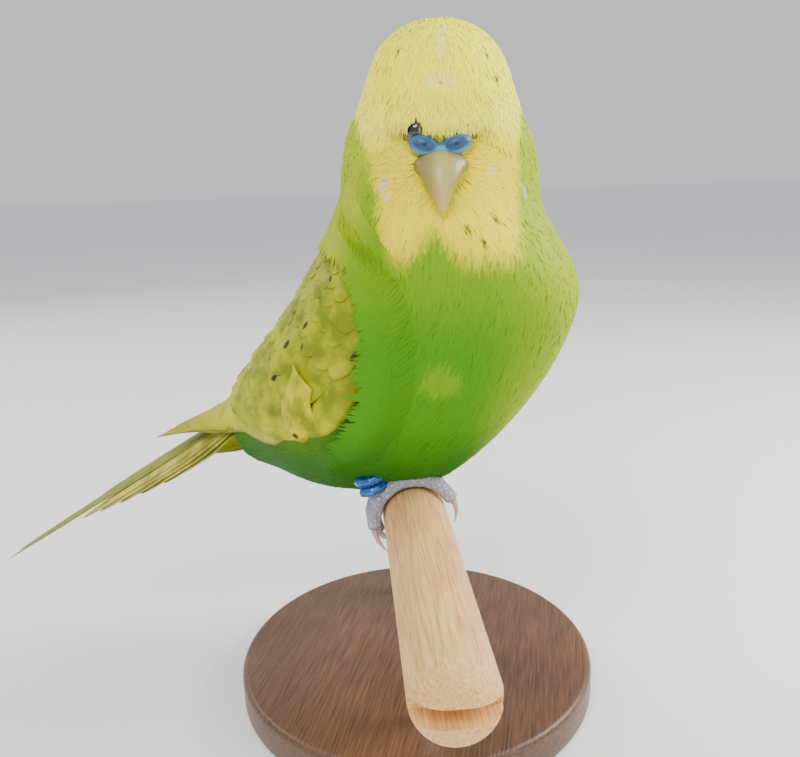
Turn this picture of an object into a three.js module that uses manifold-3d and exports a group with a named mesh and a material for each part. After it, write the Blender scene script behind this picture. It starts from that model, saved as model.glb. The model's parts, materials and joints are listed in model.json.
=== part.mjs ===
// A budgerigar on a short length of wooden perch, held up by a plain display stand.
// Millimetres, +Z up. The bird's breast faces -Y and its left side is +X. The origin is the
// centre of the stand's underside. The bird stands across the perch, twisted round towards
// the perch's near end, with its head turned further the same way and its bill on its breast.
import * as THREE from 'three';
import { mergeVertices } from 'three/addons/utils/BufferGeometryUtils.js';
import Module from 'manifold-3d';

const wasm = await Module();
wasm.setup();

// Sizes of the perch and the stand
const PERCH_DIAMETER = 14;
const PERCH_AXIS_HEIGHT = 47;
const PERCH_HEADING = 35.65;
const PERCH_NEAR_LENGTH = 78.5;
const PERCH_FAR_LENGTH = 36;
const PERCH_END_ROUNDING = 5;
const PERCH_SLOT_HEIGHT = 3.2;
const PERCH_SLOT_DEPTH = 5;
const BASE_RADIUS = 42;
const BASE_HEIGHT = 8;
const BASE_BEVEL = 1.5;
const ROD_RADIUS = 2;
const ROD_REACH = 27;

// Sizes of the bird
const GAP = 0.3;
const FOOT_SPACING = 24;
const FEET_SHIFT = 2;
const HEAD_TURN = 60.6;
const EYE_RADIUS = 2.4;
const EYE_SPACING = 8.6;
const CERE_WIDTH = 11.6;
const BILL_LENGTH = 12;
const TAIL_LENGTH = 97;
const TAIL_HEADING = 17.5;
const TAIL_DROP = 31.7;
const TAIL_ROLL = 16;
const SHANK_RADIUS = 1.35;
const TOE_RADIUS = 1.6;
const RING_WIRE = 1.1;
const RING_COILS = 1.75;

const PERCH_TOP = PERCH_AXIS_HEIGHT + PERCH_DIAMETER / 2;
const TURN = Math.PI / 180;
const UP = new THREE.Vector3(0, 0, 1);

// Colours and finishes
const finish = (color, roughness, metalness = 0) =>
  new THREE.MeshStandardMaterial({ color, roughness, metalness });
const PLUMAGE_GREEN = finish(0x7fae2c, 0.85);
const PLUMAGE_YELLOW = finish(0xece04a, 0.85);
const WING_YELLOW = finish(0xb9bd45, 0.8);
const TAIL_YELLOW = finish(0xc9ca74, 0.8);
const EYE_DARK = finish(0x1a0f0a, 0.15);
const CERE_BLUE = finish(0x4c86b0, 0.5);
const BILL_HORN = finish(0xb9a878, 0.4);
const SKIN_GREY = finish(0xa7b0b6, 0.6);
const CLAW_HORN = finish(0xb39a92, 0.4);
const RING_BLUE = finish(0x1f5fae, 0.3);
const PERCH_WOOD = finish(0xd6b27c, 0.75);
const STAND_WOOD = finish(0x6b4a30, 0.5);
const ROD_STEEL = finish(0xb8bcc0, 0.3, 1);

// Solids

// A closed mesh becomes a solid, and is turned the right way out where its faces point inwards.
function solidOf(positions, triangles) {
  const build = (tris) =>
    new wasm.Manifold(
      new wasm.Mesh({
        numProp: 3,
        vertProperties: new Float32Array(positions),
        triVerts: new Uint32Array(tris),
      }),
    );
  const made = build(triangles);
  if (made.volume() > 0) return made;
  const turned = [];
  for (let i = 0; i < triangles.length; i += 3)
    turned.push(triangles[i], triangles[i + 2], triangles[i + 1]);
  return build(turned);
}

function solidFromGeometry(geometry, matrix = new THREE.Matrix4()) {
  const bare = geometry.clone().applyMatrix4(matrix);
  bare.deleteAttribute('normal');
  bare.deleteAttribute('uv');
  const merged = mergeVertices(bare, 1e-4);
  return solidOf(merged.attributes.position.array, [...merged.index.array]);
}

// Rings with the same number of points, joined in order and closed by a fan at each end.
function solidFromRings(rings) {
  const sides = rings[0].length;
  const positions = rings.flat().flatMap((p) => [p.x, p.y, p.z]);
  const triangles = [];
  for (let r = 0; r + 1 < rings.length; r++)
    for (let i = 0; i < sides; i++) {
      const a = r * sides + i;
      const b = r * sides + ((i + 1) % sides);
      triangles.push(a, b, b + sides, a, b + sides, a + sides);
    }
  const fan = (ring, first, flip) => {
    const centre = ring
      .reduce((sum, p) => sum.add(p), new THREE.Vector3())
      .divideScalar(sides);
    const hub = positions.length / 3;
    positions.push(centre.x, centre.y, centre.z);
    for (let i = 0; i < sides; i++) {
      const a = first + i;
      const b = first + ((i + 1) % sides);
      triangles.push(hub, ...(flip ? [b, a] : [a, b]));
    }
  };
  fan(rings[0], 0, true);
  fan(rings[rings.length - 1], (rings.length - 1) * sides, false);
  return solidOf(positions, triangles);
}

// A sheet between two grids of points, split into triangles alike on both faces.
function solidFromSheet(top, bottom) {
  const rows = top.length;
  const columns = top[0].length;
  const count = rows * columns;
  const positions = [...top.flat(), ...bottom.flat()].flatMap((p) => [p.x, p.y, p.z]);
  const at = (r, c) => r * columns + c;
  const triangles = [];
  const quad = (a, b, c, d) => triangles.push(a, b, c, a, c, d);
  for (let r = 0; r + 1 < rows; r++)
    for (let c = 0; c + 1 < columns; c++) {
      const corners = [at(r, c), at(r, c + 1), at(r + 1, c + 1), at(r + 1, c)];
      quad(...corners);
      const [a, b, d, e] = corners.map((k) => k + count);
      triangles.push(a, d, b, a, e, d);
    }
  for (let c = 0; c + 1 < columns; c++) {
    quad(at(0, c + 1), at(0, c), at(0, c) + count, at(0, c + 1) + count);
    const last = rows - 1;
    quad(at(last, c), at(last, c + 1), at(last, c + 1) + count, at(last, c) + count);
  }
  for (let r = 0; r + 1 < rows; r++) {
    quad(at(r, 0), at(r + 1, 0), at(r + 1, 0) + count, at(r, 0) + count);
    const last = columns - 1;
    quad(at(r + 1, last), at(r, last), at(r, last) + count, at(r + 1, last) + count);
  }
  return solidOf(positions, triangles);
}

const joined = (solids) => solids.reduce((a, b) => a.add(b));

function largest(solid) {
  return solid
    .decompose()
    .reduce((best, piece) => (piece.volume() > best.volume() ? piece : best));
}

function geometryOf(solid) {
  const mesh = solid.getMesh();
  const points = [];
  for (let i = 0; i < mesh.numVert; i++)
    points.push(...mesh.vertProperties.subarray(i * mesh.numProp, i * mesh.numProp + 3));
  const geometry = new THREE.BufferGeometry();
  geometry.setAttribute('position', new THREE.Float32BufferAttribute(points, 3));
  geometry.setIndex([...mesh.triVerts]);
  geometry.computeVertexNormals();
  return geometry;
}

const bird = new THREE.Group();
function addNode(name, solid, material, tolerance = 0.01) {
  const mesh = new THREE.Mesh(geometryOf(largest(solid.setTolerance(tolerance))), material);
  mesh.name = name;
  bird.add(mesh);
  return mesh;
}

// A round tube with a radius given at each point of its path. Grow makes it thicker and
// longer at both ends, for the room that it needs in its neighbours.
function taperedTube(path, radii, sides = 8, steps = 12, grow = 0) {
  const curve = new THREE.CatmullRomCurve3(path, false, 'centripetal');
  const frames = curve.computeFrenetFrames(steps, false);
  const rings = [];
  for (let k = 0; k <= steps; k++) {
    const along = (k / steps) * (radii.length - 1);
    const low = Math.min(Math.floor(along), radii.length - 2);
    const radius = THREE.MathUtils.lerp(radii[low], radii[low + 1], along - low) + grow;
    const centre = curve.getPointAt(k / steps);
    const end = k === 0 ? -1 : k === steps ? 1 : 0;
    centre.addScaledVector(curve.getTangentAt(k / steps), end * grow);
    const ring = [];
    for (let i = 0; i < sides; i++) {
      const angle = (2 * Math.PI * i) / sides;
      ring.push(
        centre
          .clone()
          .addScaledVector(frames.normals[k], radius * Math.cos(angle))
          .addScaledVector(frames.binormals[k], radius * Math.sin(angle)),
      );
    }
    rings.push(ring);
  }
  return solidFromRings(rings);
}

// The trunk: one lofted form from the crown to the tail's root

// Each station is a section of the plumage across the spine, from the crown down: its centre
// (height is above the perch's top), half width, depth to the breast side, depth to the back
// side, and the share of the head's turn that it follows. The last two only guide the wings.
const STATIONS = [
  { x: -1, y: -10, z: 95.7, wide: 12.6, front: 12.6, back: 12, turn: 1 },
  { x: -1, y: -10, z: 89, wide: 13.3, front: 13.4, back: 13, turn: 1 },
  { x: -1, y: -10, z: 81, wide: 15.6, front: 15.4, back: 14.4, turn: 1 },
  { x: -1, y: -9.8, z: 72, wide: 19.3, front: 16, back: 16.3, turn: 1 },
  { x: -0.5, y: -9.6, z: 61, wide: 21, front: 20, back: 17.1, turn: 0.6 },
  { x: 0, y: -8, z: 49, wide: 23.5, front: 32.5, back: 19.2, turn: 0.1 },
  { x: 0, y: -2.5, z: 37, wide: 24.5, front: 31.5, back: 20, turn: 0 },
  { x: -0.5, y: 9, z: 24, wide: 23.5, front: 30.5, back: 18.5, turn: 0 },
  { x: -1.5, y: 21.5, z: 15, wide: 20, front: 23.3, back: 16, turn: 0 },
  { x: -3.5, y: 33, z: 9.5, wide: 14.5, front: 15.5, back: 12, turn: 0 },
  { x: -7, y: 44, z: 5, wide: 8.5, front: 7, back: 6.5, turn: 0 },
  { x: -12, y: 60, z: 0, wide: 6, front: 3, back: 3.5, turn: 0 },
  { x: -19, y: 80, z: -9, wide: 5, front: 2, back: 2.5, turn: 0 },
];
const TRUNK_END = 10;
const CROWN_ROUNDING = 1.5;
const LAST_STATION = STATIONS.length - 1;
const spine = new THREE.CatmullRomCurve3(
  STATIONS.map((s) => new THREE.Vector3(s.x, s.y, s.z + PERCH_TOP)),
);
const sizes = new THREE.CatmullRomCurve3(
  STATIONS.map((s) => new THREE.Vector3(s.wide, s.front, s.back)),
);
const turns = new THREE.CatmullRomCurve3(
  STATIONS.map((s, i) => new THREE.Vector3(s.turn * HEAD_TURN, i, 0)),
);

// The section at a station: centre, the way to the bird's left, the way to its back, and sizes.
function section(station) {
  const t = station / LAST_STATION;
  const centre = spine.getPoint(t);
  const along = spine.getTangent(t);
  const turn = turns.getPoint(t).x * TURN;
  const ahead = new THREE.Vector3(-Math.sin(turn), -Math.cos(turn), 0);
  const back = ahead.addScaledVector(along, -ahead.dot(along)).normalize().negate();
  const left = new THREE.Vector3().crossVectors(back, along).normalize().negate();
  const size = sizes.getPoint(t);
  const cap = Math.min(station / CROWN_ROUNDING, 1);
  const round = Math.sqrt(Math.max(1 - (1 - cap) ** 2, 1e-4));
  return { centre, along, left, back, wide: size.x * round, front: size.y * round, rear: size.z * round };
}

// A point of the plumage: angle is 0 along the back, 90 at the left flank, -90 at the right
// flank and 180 down the middle of the breast.
function skinPoint(station, angle) {
  const s = section(station);
  const c = Math.cos(angle * TURN);
  return s.centre
    .clone()
    .addScaledVector(s.left, s.wide * Math.sin(angle * TURN))
    .addScaledVector(s.back, (c > 0 ? s.rear : s.front) * c);
}

function skinNormal(station, angle) {
  const low = Math.max(station - 0.05, 0.002);
  const down = skinPoint(station + 0.05, angle).sub(skinPoint(low, angle));
  const round = skinPoint(station, angle + 2).sub(skinPoint(station, angle - 2));
  const normal = round.cross(down).normalize();
  const out = skinPoint(station, angle).sub(section(station).centre);
  return normal.dot(out) < 0 ? normal.negate() : normal;
}

const onSkin = (station, angle, lift) =>
  skinPoint(station, angle).addScaledVector(skinNormal(station, angle), lift);

const TRUNK_SIDES = 24;
function trunkSolid(from, to, lift = 0, step = 0.5) {
  const rings = [];
  const count = Math.max(1, Math.round((to - from) / step));
  for (let k = 0; k <= count; k++) {
    const station = from + ((to - from) * k) / count;
    const ring = [];
    for (let i = 0; i < TRUNK_SIDES; i++) {
      const angle = (360 * i) / TRUNK_SIDES;
      ring.push(lift ? onSkin(station, angle, lift) : skinPoint(station, angle));
    }
    rings.push(ring);
  }
  return solidFromRings(rings);
}

// The stations where the gaps between neighbouring parts of the trunk lie.
const NECK_TOP = 3.1;
const NECK_BASE = 4.6;
const RUMP_START = 8.4;
const gapInStations = (station) => {
  const before = spine.getPoint((station - 0.5) / LAST_STATION);
  const after = spine.getPoint((station + 0.5) / LAST_STATION);
  return GAP / before.distanceTo(after) / 2;
};
function trunkPart(from, to) {
  const start = from === 0 ? 0.02 : from + gapInStations(from);
  const end = to === TRUNK_END ? to : to - gapInStations(to);
  return trunkSolid(start, end, 0, 0.34);
}

// Reads a table of [place, value] pairs, in straight lines between its entries.
function profile(place, table) {
  if (place <= table[0][0]) return table[0][1];
  for (let i = 1; i < table.length; i++)
    if (place <= table[i][0]) {
      const share = (place - table[i - 1][0]) / (table[i][0] - table[i - 1][0]);
      return THREE.MathUtils.lerp(table[i - 1][1], table[i][1], share);
    }
  return table[table.length - 1][1];
}

// The perch: a round dowel with a rounded near end, slotted level across that end
const PERCH_RADIUS = PERCH_DIAMETER / 2;
const perchAxis = new THREE.Vector3(0, 0, PERCH_AXIS_HEIGHT);
const perchAlong = new THREE.Vector3(Math.cos(PERCH_HEADING * TURN), Math.sin(PERCH_HEADING * TURN), 0);
const perchFront = new THREE.Vector3(perchAlong.y, -perchAlong.x, 0);

// A point round the perch: angle is 0 at the top and grows towards the bird's front.
const perchPoint = (along, angle, radius) =>
  perchAxis
    .clone()
    .addScaledVector(perchAlong, along)
    .addScaledVector(perchFront, radius * Math.sin(angle * TURN))
    .addScaledVector(UP, radius * Math.cos(angle * TURN));

function perchSolid(grow) {
  const rows = [];
  for (let k = 0; k <= 4; k++) {
    const angle = (90 * k * TURN) / 4;
    rows.push([
      -PERCH_NEAR_LENGTH - grow + PERCH_END_ROUNDING * (1 - Math.cos(angle)),
      PERCH_RADIUS + grow - PERCH_END_ROUNDING * (1 - Math.sin(angle)),
    ]);
  }
  rows.push([PERCH_FAR_LENGTH + grow - 1, PERCH_RADIUS + grow]);
  rows.push([PERCH_FAR_LENGTH + grow, PERCH_RADIUS + grow - 1]);
  const sides = 28;
  return solidFromRings(
    rows.map(([along, radius]) =>
      Array.from({ length: sides }, (_, i) => perchPoint(along, (360 * i) / sides, radius)),
    ),
  );
}
const grownPerch = perchSolid(GAP);

// The stand: a round foot and two short rods that run up into the perch
const ROD_SEAT = 3.5;
const rodFoot = (end) => perchAlong.clone().multiplyScalar(end * ROD_REACH);
function rodSolid(end, grow) {
  const bottom = BASE_HEIGHT - 4 - grow;
  const top = PERCH_AXIS_HEIGHT - PERCH_RADIUS + ROD_SEAT + grow;
  const shape = new THREE.CylinderGeometry(ROD_RADIUS + grow, ROD_RADIUS + grow, top - bottom, 20);
  const place = new THREE.Matrix4()
    .makeTranslation(rodFoot(end).x, rodFoot(end).y, (top + bottom) / 2)
    .multiply(new THREE.Matrix4().makeRotationX(Math.PI / 2));
  return solidFromGeometry(shape, place);
}

function standBase() {
  const profileRows = [
    [0, BASE_RADIUS],
    [BASE_HEIGHT - BASE_BEVEL, BASE_RADIUS],
    [BASE_HEIGHT - BASE_BEVEL * 0.3, BASE_RADIUS - BASE_BEVEL * 0.3],
    [BASE_HEIGHT, BASE_RADIUS - BASE_BEVEL],
  ];
  const sides = 40;
  return solidFromRings(
    profileRows.map(([height, radius]) =>
      Array.from({ length: sides }, (_, i) => {
        const angle = (2 * Math.PI * i) / sides;
        return new THREE.Vector3(radius * Math.cos(angle), radius * Math.sin(angle), height);
      }),
    ),
  );
}

// The head's own directions: ahead out of the face, across to the bird's right, and up
const faceAhead = new THREE.Vector3(-Math.sin(HEAD_TURN * TURN), -Math.cos(HEAD_TURN * TURN), 0);
const faceRight = new THREE.Vector3(-Math.cos(HEAD_TURN * TURN), Math.sin(HEAD_TURN * TURN), 0);
const headAxis = new THREE.Vector3(STATIONS[1].x, STATIONS[1].y, PERCH_TOP);
const headPoint = (ahead, right, up) =>
  headAxis
    .clone()
    .addScaledVector(faceAhead, ahead)
    .addScaledVector(faceRight, right)
    .addScaledVector(UP, up);
const headMatrix = new THREE.Matrix4()
  .makeBasis(faceAhead, faceRight, UP)
  .setPosition(headAxis);

function ellipsoid(ahead, right, up, radii, segments = 14) {
  const place = new THREE.Matrix4()
    .makeTranslation(ahead, right, up)
    .multiply(new THREE.Matrix4().makeScale(...radii));
  return solidFromGeometry(
    new THREE.SphereGeometry(1, segments, Math.round(segments * 0.6)),
    headMatrix.clone().multiply(place),
  );
}

// A bill half: oval sections along a curve in the head's middle plane. Each row is
// ahead, up, half width, half thickness.
function billSolid(rows, grow, steps = 10, sides = 14) {
  const line = new THREE.CatmullRomCurve3(rows.map((r) => new THREE.Vector3(r[0], 0, r[1])));
  const girth = new THREE.CatmullRomCurve3(rows.map((r) => new THREE.Vector3(r[2], r[3], 0)));
  const rings = [];
  for (let k = 0; k <= steps; k++) {
    const centre = line.getPoint(k / steps);
    const along = line.getTangent(k / steps);
    const size = girth.getPoint(k / steps);
    if (k === steps) centre.addScaledVector(along, grow);
    const ring = [];
    for (let i = 0; i < sides; i++) {
      const angle = (2 * Math.PI * i) / sides;
      const rise = (size.y + grow) * Math.cos(angle);
      const side = (size.x + grow) * Math.sin(angle);
      ring.push(headPoint(centre.x - along.z * -rise * -1, side, centre.z + along.x * rise));
    }
    rings.push(ring);
  }
  return solidFromRings(rings);
}
const BILL_TOP = 67;
const upperBillRows = [
  [11.5, BILL_TOP - 0.6, 4.3, 2.1],
  [15.3, BILL_TOP - 0.4, 4.5, 2.2],
  [18.3, BILL_TOP - 1.9, 4.0, 2.1],
  [20.4, BILL_TOP - 4.6, 2.8, 1.6],
  [21.1, BILL_TOP - BILL_LENGTH * 0.56, 1.5, 1.0],
  [20.7, BILL_TOP - BILL_LENGTH * 0.7, 0.4, 0.35],
];
const lowerBillRows = [
  [11.5, BILL_TOP - 3.9, 3.5, 1.3],
  [15.2, BILL_TOP - 4.6, 3.3, 1.2],
  [17.4, BILL_TOP - 5.9, 1.6, 0.6],
];
const upperBill = (grow) => billSolid(upperBillRows, grow);
const lowerBill = (grow) => billSolid(lowerBillRows, grow, 6, 12);

// The cere: two swollen lobes over the bill's root, each with a nostril
const CERE_HEIGHT = 70.7;
function cereSolid(grow) {
  const lobe = (side) =>
    ellipsoid(
      15.4,
      side * CERE_WIDTH * 0.245,
      CERE_HEIGHT,
      [2.3 + grow, CERE_WIDTH * 0.255 + grow, 1.75 + grow],
      grow ? 8 : 10,
    );
  return joined([lobe(1), lobe(-1)]);
}
function nostrils() {
  const pit = (side) => ellipsoid(17.9, side * CERE_WIDTH * 0.25, CERE_HEIGHT + 0.2, [0.9, 0.75, 0.6], 6);
  return joined([pit(1), pit(-1)]);
}

// The eyes, each in a ring of lid
const EYE_HEIGHT = 73.7;
const eyeCentre = (side) => [13.6, (side * EYE_SPACING) / 2, EYE_HEIGHT];
const eyeBall = (side, grow) =>
  ellipsoid(
    ...eyeCentre(side),
    [EYE_RADIUS + grow, EYE_RADIUS + grow, EYE_RADIUS * 0.9 + grow],
    10,
  );
function eyeLid(side, grow) {
  const [ahead, right, up] = eyeCentre(side);
  const radius = EYE_RADIUS + 0.75 + grow;
  const ball = ellipsoid(ahead - 0.1, right, up, [radius, radius, radius * 0.9], 10);
  if (grow) return ball;
  const opening = ellipsoid(ahead + 2.6, right + side * 0.5, up - 0.1, [2.4, 1.75, 1.15], 8);
  return ball.subtract(eyeBall(side, GAP)).subtract(opening);
}

// The legs

// A shank stands behind the perch, and four toes grip the perch: two over it to the front,
// two down its back. Along is a shift along the perch from the foot's own place.
const TOE_TRACK = PERCH_RADIUS + GAP + 1.14 * TOE_RADIUS;
const FOOT_ANGLE = -54;
const TOES = [
  { name: '1', along: -0.9, spread: -3.4, from: -58, to: -96, inner: -1 },
  { name: '2', along: 1.1, spread: 3.2, from: -50, to: 34, inner: 1 },
  { name: '3', along: -1.1, spread: -2.2, from: -50, to: 62, inner: 1 },
  { name: '4', along: 1, spread: 2.6, from: -58, to: -118, inner: 1 },
];
const footAlong = (side) => FEET_SHIFT - (side * FOOT_SPACING) / 2;

function toePath(side, toe, from, to, track = TOE_TRACK, lift = 0) {
  const points = [];
  for (let k = 0; k <= 5; k++) {
    const share = k / 5;
    const angle = THREE.MathUtils.lerp(from, to, share);
    const reach = (angle - toe.from) / (toe.to - toe.from);
    const along = footAlong(side) + side * THREE.MathUtils.lerp(toe.along, toe.spread, reach);
    points.push(perchPoint(along, angle, track + lift * share * share));
  }
  return points;
}

function toeSolid(side, toe, grow) {
  const radii = [1.12, 0.95, 1.03, 0.88, 0.94, 0.8].map((r) => r * TOE_RADIUS);
  return taperedTube(toePath(side, toe, toe.from, toe.to), radii, 6, 7, grow);
}

function clawSolid(side, toe) {
  const way = Math.sign(toe.to - toe.from);
  const gap = (GAP * 180) / Math.PI / TOE_TRACK;
  const start = toe.to + way * gap;
  const path = toePath(side, toe, start, start + way * 34, TOE_TRACK + 0.15, -0.75);
  return taperedTube(path, [0.8, 0.66, 0.48, 0.28, 0.12], 6, 5);
}

const shankPath = (side) => [
  perchPoint(footAlong(side), FOOT_ANGLE, TOE_TRACK + 0.2),
  perchPoint(footAlong(side), FOOT_ANGLE - 6, TOE_TRACK + 0.6),
  perchAxis.clone().addScaledVector(perchAlong, footAlong(side)).addScaledVector(perchFront, -9.3)
    .addScaledVector(UP, PERCH_RADIUS + 1.6),
  perchAxis.clone().addScaledVector(perchAlong, footAlong(side)).addScaledVector(perchFront, -9.8)
    .addScaledVector(UP, PERCH_RADIUS + 8.6),
];

function shankSolid(side, grow) {
  const radii = [1.25, 1.08, 1, 1].map((r) => r * SHANK_RADIUS);
  return taperedTube(shankPath(side), radii, 8, 6, grow);
}

function footSolid(side, grow) {
  const pad = solidFromGeometry(
    new THREE.SphereGeometry(2.1 + grow, 10, 6),
    new THREE.Matrix4().setPosition(perchPoint(footAlong(side), FOOT_ANGLE, TOE_TRACK + 0.3)),
  );
  return joined([shankSolid(side, grow), pad, ...TOES.map((toe) => toeSolid(side, toe, grow))]);
}

// The room that the belly's plumage leaves round the toes on top of the perch
const GRIP_HALF_LENGTH = 5.4;
function gripHollow(side) {
  const radius = TOE_TRACK + 1.35 * TOE_RADIUS + GAP;
  const ring = (along) =>
    Array.from({ length: 15 }, (_, i) => perchPoint(footAlong(side) + along, 24 * i, radius));
  return solidFromRings([ring(-GRIP_HALF_LENGTH), ring(GRIP_HALF_LENGTH)]);
}

// The feathered thigh: a bulge of the flank that narrows down to the top of the shank
function thighSolid(side, grow) {
  const ankle = perchAxis
    .clone()
    .addScaledVector(perchAlong, footAlong(side))
    .addScaledVector(perchFront, -9.5)
    .addScaledVector(UP, PERCH_RADIUS + 5.6);
  return taperedTube(
    [ankle, onSkin(7.9, -side * 140, -3.6), onSkin(7.5, -side * 124, -3.2), onSkin(7.1, -side * 112, -4.6)],
    [3, 4.4, 4.6, 3.6],
    12,
    6,
    grow,
  );
}

// The coiled ring round the right shank
const RING_INNER = SHANK_RADIUS * 1.05 + GAP;
const RING_PLACE = 0.45;
function ringPath() {
  const shank = new THREE.CatmullRomCurve3(shankPath(1), false, 'centripetal');
  const middle = shank.getPointAt(RING_PLACE);
  const along = shank.getTangentAt(RING_PLACE);
  const across = new THREE.Vector3().crossVectors(along, perchAlong).normalize();
  const other = new THREE.Vector3().crossVectors(along, across);
  const points = [];
  const count = Math.round(RING_COILS * 16);
  for (let k = 0; k <= count; k++) {
    const turn = (2 * Math.PI * k) / 16 + 0.6;
    const rise = (k / 16 - RING_COILS / 2) * (2 * RING_WIRE + 0.12);
    points.push(
      middle
        .clone()
        .addScaledVector(along, rise)
        .addScaledVector(across, (RING_INNER + RING_WIRE) * Math.cos(turn))
        .addScaledVector(other, (RING_INNER + RING_WIRE) * Math.sin(turn)),
    );
  }
  return points;
}
const ringSolid = (grow) =>
  taperedTube(ringPath(), [RING_WIRE, RING_WIRE], 7, Math.round(RING_COILS * 13), grow);

// The room that the plumage leaves round the ring
function ringSpace() {
  const shank = new THREE.CatmullRomCurve3(shankPath(1), false, 'centripetal');
  const radius = RING_INNER + 2 * RING_WIRE + GAP;
  const reach = RING_COILS * (RING_WIRE + 0.06) + RING_WIRE + GAP;
  const length = shank.getLength();
  const ends = [-reach, reach].map((r) => shank.getPointAt(RING_PLACE + r / length));
  return taperedTube(ends, [radius, radius], 14, 1);
}

// Feathers

// A feather is a thin vane along a line of points. Each point has its own way across and its
// own way up. The vane is widest past its middle, droops to both edges and thins to its tip.
const VANE_THICKNESS = 0.55;
const VANE_ROWS = [
  [0, 0.5],
  [0.5, 1],
  [0.88, 0.8],
  [1, 0.18],
];
const COVERT_ROWS = [
  [0, 0.7],
  [0.7, 1],
  [1, 0.3],
];
function vane(place, halfWidth, rows = VANE_ROWS) {
  const top = [];
  const bottom = [];
  for (const [share, width] of rows) {
    const half = halfWidth * width;
    const thick = VANE_THICKNESS * (share < 0.85 ? 0.5 : 0.5 - 1.4 * (share - 0.85));
    const row = [-1, 0, 1].map((edge) => place(share, edge * half));
    top.push(row.map(({ point, up }) => point.clone().addScaledVector(up, thick)));
    bottom.push(row.map(({ point, up }) => point.clone().addScaledVector(up, -thick)));
  }
  return solidFromSheet(top, bottom);
}

// The tail: graduated feathers under a long middle pair
const tailAlong = new THREE.Vector3(
  -Math.sin(TAIL_HEADING * TURN) * Math.cos(TAIL_DROP * TURN),
  Math.cos(TAIL_HEADING * TURN) * Math.cos(TAIL_DROP * TURN),
  -Math.sin(TAIL_DROP * TURN),
);
const tailUp = UP.clone()
  .addScaledVector(tailAlong, -UP.dot(tailAlong))
  .normalize()
  .applyAxisAngle(tailAlong, -TAIL_ROLL * TURN);
const tailLeft = new THREE.Vector3().crossVectors(tailAlong, tailUp);
const tailRoot = new THREE.Vector3(-5, 38, 15.5 + PERCH_TOP);
const tailPoint = (along, left, up) =>
  tailRoot
    .clone()
    .addScaledVector(tailAlong, along)
    .addScaledVector(tailLeft, left)
    .addScaledVector(tailUp, up);

// Each pair of tail feathers, from the middle out: length, half width, lean and drop
const TAIL_PAIRS = [
  { length: 1, half: 3.7, lean: 0.2, offset: 0.8, drop: 0 },
  { length: 0.66, half: 3.8, lean: 2.4, offset: 1.6, drop: 0.55 },
  { length: 0.58, half: 3.8, lean: 3.8, offset: 2.3, drop: 1.0 },
  { length: 0.5, half: 3.7, lean: 5.2, offset: 3, drop: 1.5 },
  { length: 0.42, half: 3.6, lean: 6.6, offset: 3.6, drop: 2.1 },
  { length: 0.34, half: 3.4, lean: 8, offset: 4.1, drop: 2.8 },
];
function tailFeather(side, pair) {
  const length = TAIL_LENGTH * pair.length;
  const lean = pair.lean * TURN;
  return vane((share, across) => {
    const along = length * share;
    const narrow = pair === TAIL_PAIRS[0] ? 1 - 0.45 * share : 1;
    const left = -side * (pair.offset + along * Math.sin(lean)) + across * narrow;
    const roof = -pair.drop * (0.4 + 0.6 * Math.min(1, share * 2)) - 0.03 * across * across;
    return { point: tailPoint(along, left, roof + (side > 0 ? 0.15 : 0)), up: tailUp };
  }, pair.half);
}
function tailCore(grow) {
  const rings = [0, 0.5, 1].map((share) => {
    const along = -1 - grow + share * (17 + 2 * grow);
    const wide = THREE.MathUtils.lerp(4.4, 5.2, share) + grow;
    const high = THREE.MathUtils.lerp(2.2, 1.5, share) + grow;
    return Array.from({ length: 12 }, (_, i) => {
      const angle = (2 * Math.PI * i) / 12;
      return tailPoint(along, wide * Math.cos(angle), high * Math.sin(angle) - 1.2);
    });
  });
  return solidFromRings(rings);
}
const featheredTail = () =>
  joined([
    tailCore(0),
    ...TAIL_PAIRS.flatMap((pair) => [tailFeather(1, pair), tailFeather(-1, pair)]),
  ]);

// The room that the tail's root needs in the rump and beside the wings
function tailRoom() {
  const rings = [0, 0.35, 1].map((share) => {
    const along = -1.5 + share * 44;
    const wide = THREE.MathUtils.lerp(7.6, 12.5, share) + GAP;
    return [
      [-wide, 1 - share],
      [-wide, -4 - share * 2.5],
      [wide, -4 - share * 2.5],
      [wide, 1 - share],
      [wide * 0.4, 1.4 + GAP],
      [-wide * 0.4, 1.4 + GAP],
    ].map(([left, up]) => tailPoint(along, left, up));
  });
  return solidFromRings(rings);
}

// The wings: each lies on the flank from the shoulder to its tip over the tail's root
const WING_TIP = 11.3;
const WING_LIFT = 0.6;
const wingUpperEdge = [[4.4, 34], [5, 18], [6, 9], [8.5, 8], [10, 10], [WING_TIP, 22]];
const wingLowerEdge = [[4.4, 72], [5, 96], [6, 103], [7, 106], [8, 106], [9, 104], [10, 84], [WING_TIP, 40]];
const wingCoreThickness = [[4.4, 1.2], [5, 2.3], [6, 2.6], [8, 2.3], [9.4, 1]];

// The wing's solid core, over which the feathers lie in tiers
function wingCore(side) {
  const rows = 9;
  const top = [];
  const bottom = [];
  for (let r = 0; r <= rows; r++) {
    const station = THREE.MathUtils.lerp(4.4, 9.4, r / rows);
    const from = profile(station, wingUpperEdge) + 4;
    const to = profile(station, wingLowerEdge) - 4;
    const thick = profile(station, wingCoreThickness);
    const upper = [];
    const lower = [];
    for (let c = 0; c <= 6; c++) {
      const angle = -side * THREE.MathUtils.lerp(from, to, c / 6);
      const edge = c === 0 || c === 6 ? 0.4 : 1;
      upper.push(onSkin(station, angle, WING_LIFT + thick * edge));
      lower.push(onSkin(station, angle, WING_LIFT));
    }
    top.push(upper);
    bottom.push(lower);
  }
  return solidFromSheet(top, bottom);
}

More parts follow.
